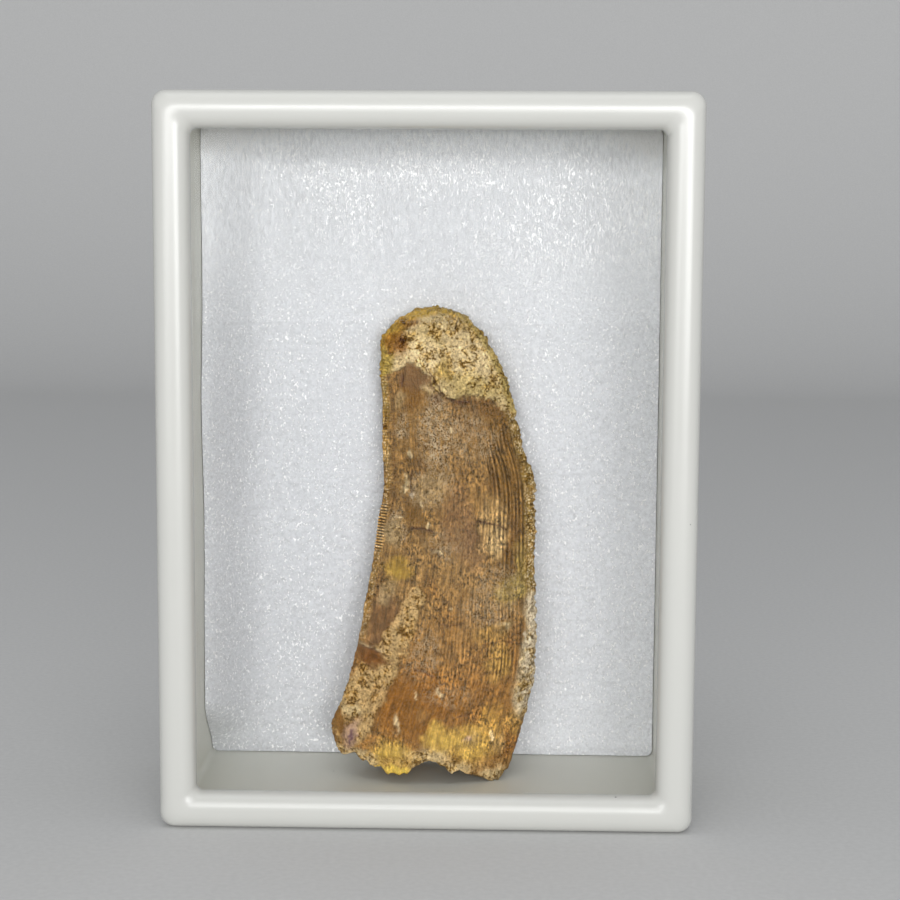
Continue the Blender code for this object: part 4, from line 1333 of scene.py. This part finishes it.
    def raise_relief(self):
        """Grains, ridges, saw teeth, cracks and pits, as height along the surface's normals."""
        medium, small, tiny = self.medium, self.small, self.tiny
        self.beads = grains(self.points, GRAIN_SIZE)
        self.fine_beads = grains(self.points + FINE_GRAIN_SHIFT, FINE_GRAIN_SIZE)
        piled = GRAIN_HEIGHT * (0.75 * self.beads + 0.45 * self.fine_beads - 0.55)
        rise = self.grain * (piled + 0.12 * medium)
        rise += (1 - self.grain) * (0.05 * small + 0.03 * tiny)
        rise += self.ridge * RIDGE_HEIGHT * np.cos(self.phase)
        rise += self.saw * DENTICLE_HEIGHT * np.cos(self.saw_phase)
        near_edge = bell(self.inside, 0.0, OUTLINE_REACH) * smoothstep(*OUTLINE_FOOT, self.z)
        ragged = 0.35 + 0.65 * np.maximum(self.cap, self.right_crust)
        rise += near_edge * ragged * (0.30 * medium + 0.40 * small + 0.34 * tiny)
        rise -= BARED_DEPTH * self.bared + CRACK_DEPTH * self.crack + PIT_DEPTH * self.pit
        self.points = self.points + self.normals() * rise[:, None]

    def bend_outline(self):
        """The notch and the bulges of the right edge, and the torn rim of the foot."""
        shift = -NOTCH_DEPTH * bell(self.z, NOTCH_LEVEL, NOTCH_WIDTH)
        for bulge, span, fade in BULGES:
            shift += bulge * window(span, fade, self.z)
        self.points[:, 0] += smoothstep(*BULGE_EDGE, self.from_right) * shift
        torn = 0.9 * lumps(self.flat, *TORN_LUMPS) + 0.3 * lumps(self.flat, *FINE_TORN_LUMPS)
        self.points[:, 2] += torn * bell(self.level, ROOT_LEVEL, TORN_REACH)

    def paint_enamel(self):
        z, broad, medium = self.z, self.broad, self.medium
        self.paint("honey", 0.45 * (1 - smoothstep(*HONEY_TOP, z + 3 * broad)))
        plum = np.clip(broad + 0.5 * medium, 0, 1)
        self.paint("plum", 0.55 * plum * smoothstep(*PLUM_FOOT, z))
        self.paint("rust", 0.5 * np.clip(0.4 * medium - broad, 0, 1))
        side = smoothstep(*SIDE_BROWN_EDGE, self.share)
        self.paint("brown", 0.6 * side * smoothstep(*SIDE_BROWN_FOOT, z))
        self.paint("brown", 0.25 * smoothstep(*BROWN_FOOT, z) * self.on_front)
        for tone, *shape, strength in STAINS:
            stain = self.on_front * oval(*self.warped, *shape)
            self.paint(tone, strength * stain * (0.85 + 0.3 * self.small))
        self.paint("tan", 0.35 * self.bared)

    def paint_edges(self):
        """The strip and the saw of the left edge, the crust of the right one, and the foot."""
        z, crust = self.z, self.right_crust
        strip = self.left_strip * (0.55 + 0.45 * smoothstep(*FULL_STRIP_FOOT, z))
        self.paint("ochre", 0.8 * strip)
        self.paint("olive", 0.5 * strip * smoothstep(*OLIVE_STRIP_FOOT, z))
        line = bell(self.from_left, EDGE_LINE_OFFSET, EDGE_LINE_WIDTH)
        self.paint("umber", 0.5 * window(*EDGE_LINE_SPAN, z) * self.on_front * line)
        self.paint("tan", 0.6 * self.saw * self.crisp)
        self.paint("olive", 0.6 * crust)
        self.paint("tan", 0.5 * crust * np.clip(0.3 + self.medium + self.small, 0, 1))
        self.paint("sand", 0.6 * crust * (1 - smoothstep(*SANDY_CRUST_TOP, z)))
        self.paint("tan", 0.5 * self.foot * (self.grain > 0.2))

    def paint_sand(self):
        """The sandy places, and on the crusts grains paler on top and darker in the gaps between
        them: partly the matrix's own colour, partly painted light and shade.
        """
        self.paint("pale_sand", 0.8 * self.band)
        self.paint("sand", 0.8 * self.spots(SANDS))
        self.paint("chalk", 0.9 * self.right_crust * window(*PALE_CRUST_SPAN, self.z))
        crusted = np.maximum(self.right_crust, 0.7 * self.left_strip)
        self.paint("chalk", 0.8 * crusted * smoothstep(*CHALKY_BEADS, self.fine_beads))
        self.paint("umber", 0.5 * crusted * (1 - smoothstep(*DARK_GAPS, self.fine_beads)))
        self.paint("ochre", 0.6 * self.back_sand)

    def stain_cap(self, table):
        for tone, strength, *shape in table:
            self.paint(tone, strength * self.cap * self.on_front * oval(*self.warped, *shape))

    def paint_cap(self):
        rim_x, rim_z = OLIVE_RIM_CORNER
        self.paint("sand", 0.95 * self.cap)
        self.stain_cap(PALE_CAP_STAINS)
        self.paint("olive", 0.55 * self.cap * np.clip(self.medium + 0.6 * self.broad, 0, 1))
        self.stain_cap(LOW_CAP_STAINS)
        self.paint("mustard", 0.9 * self.cap_rim)
        self.paint("olive", 0.7 * self.cap_rim * (self.x < rim_x) * (self.z < rim_z))
        self.stain_cap(DARK_CAP_STAINS)
        self.paint("mustard", 0.7 * self.largest(CAP_SPOTS))
        self.paint("olive", 0.7 * self.cap * (1 - smoothstep(*CAP_SIDE_EDGE, self.from_right)))

    def paint_marks(self):
        """Bare spots, chips and the cream line; the dark of cracks, partly painted shade; painted
        shade in pits; and darker gaps between grains, partly painted shade.
        """
        for tone, *shape, strength in BARE_SPOTS:
            self.paint(tone, strength * self.on_front * oval(*self.warped, *shape))
        for tone, *shape in CHIPS:
            chip = self.on_front * oval(*self.warped, *shape, soft=0.5)
            self.paint(tone, 0.85 * chip)
            self.grain = self.grain * (1 - chip)
            self.ridge = self.ridge * (1 - chip)
        (start, level), (low, high) = CREAM_LINE_PLACE, CREAM_LINE_ENDS
        line = bell(self.z + CREAM_LINE_FALL * (self.x - start), level, CREAM_LINE_WIDTH)
        self.paint("cream", 0.6 * self.on_front * line * (self.x > low) * (self.x < high))
        # Painted shade in pits, and in cracks together with their own dark line
        self.paint("dark", 0.8 * np.clip(self.crack + self.pit, 0, 1))
        # Darker in the gaps between grains: partly the matrix's colour, partly painted shade
        packed = np.clip(1.6 * (0.6 * self.beads + 0.4 * self.fine_beads), 0, 1)
        self.paint("umber", 0.3 * self.grain * (1 - packed))
        self.tint *= (1 + 0.16 * self.small + 0.14 * self.tiny)[:, None]

    def layers(self):
        """What the fossil's material reads: a name, a kind, and a value for each point."""
        tint = np.column_stack([np.clip(self.tint, 0, 1), np.ones(len(self.x))])
        return (
            ("grain", "FLOAT", self.grain),
            ("ridge", "FLOAT", self.ridge),
            ("dust", "FLOAT", self.dust),
            ("calm", "FLOAT", self.calm),
            ("saw", "FLOAT", self.saw),
            ("saw_phase", "FLOAT", self.saw_phase),
            ("phase", "FLOAT", self.phase),
            ("flow", "FLOAT_VECTOR", self.flow),
            ("tint", "FLOAT_COLOR", tint),
        )

    def close(self):
        """Faces of the grid, with its tip and its broken foot closed."""
        points = self.points.tolist()
        index = np.arange(self.rows * self.columns).reshape(self.rows, self.columns)
        beside = np.roll(index, -1, axis=1)
        faces = np.stack([index[:-1], beside[:-1], beside[1:], index[1:]], axis=-1)
        faces = faces.reshape(-1, 4).tolist()
        source = list(range(len(points)))
        tip_x, tip_z = TOOTH_LEFT_EDGE[-1]
        top, ring = index[-1].tolist(), index[0].tolist()
        points.append((tip_x, middle_depth(tip_z), tip_z))
        source.append(top[0])
        faces += [(a, b, len(points) - 1) for a, b in zip(top, top[1:] + top[:1])]
        edge = np.array([points[i] for i in ring])
        centre = edge.mean(axis=0)
        first = ring
        for shrink, lift in SOCKET_RINGS:
            inner = list(range(len(points), len(points) + len(ring)))
            spread = centre + (shrink, shrink, 1) * (edge - centre) + (0, 0, lift)
            spread[:, 2] += SOCKET_ROUGHNESS * lumps(spread, *SOCKET_LUMPS)
            points += spread.tolist()
            source += first
            faces += [(ring[i], ring[i - 1], inner[i - 1], inner[i]) for i in range(len(ring))]
            ring = inner
        points.append((centre + (0.0, 0.0, SOCKET_TOP)).tolist())
        source.append(first[0])
        faces += [(b, a, len(points) - 1) for a, b in zip(ring, ring[1:] + ring[:1])]
        return points, faces, source


def make_tooth(material):
    skin = ToothSkin()
    skin.finish()
    points, faces, source = skin.close()
    piece = new_object("tooth_fine", points, faces, material, scale=MM)
    piece.data.shade_smooth()
    for name, kind, values in skin.layers():
        set_attribute(piece.data, name, kind, np.asarray(values)[source])
    add_piece(piece, "tooth")


make_stage()
make_camera()
make_lights()
make_lid_frame(plastic("lid_plastic", LID_COLOUR, LID_ROUGHNESS))
# The tray's paler colour is painted light on the case's shaded inside
make_tray(plastic("tray_plastic", TRAY_COLOUR_WITH_PAINTED_LIGHT, TRAY_ROUGHNESS))
dress("window_pane", clear_pane())
make_foam_pad(foam())
make_tooth(fossil())
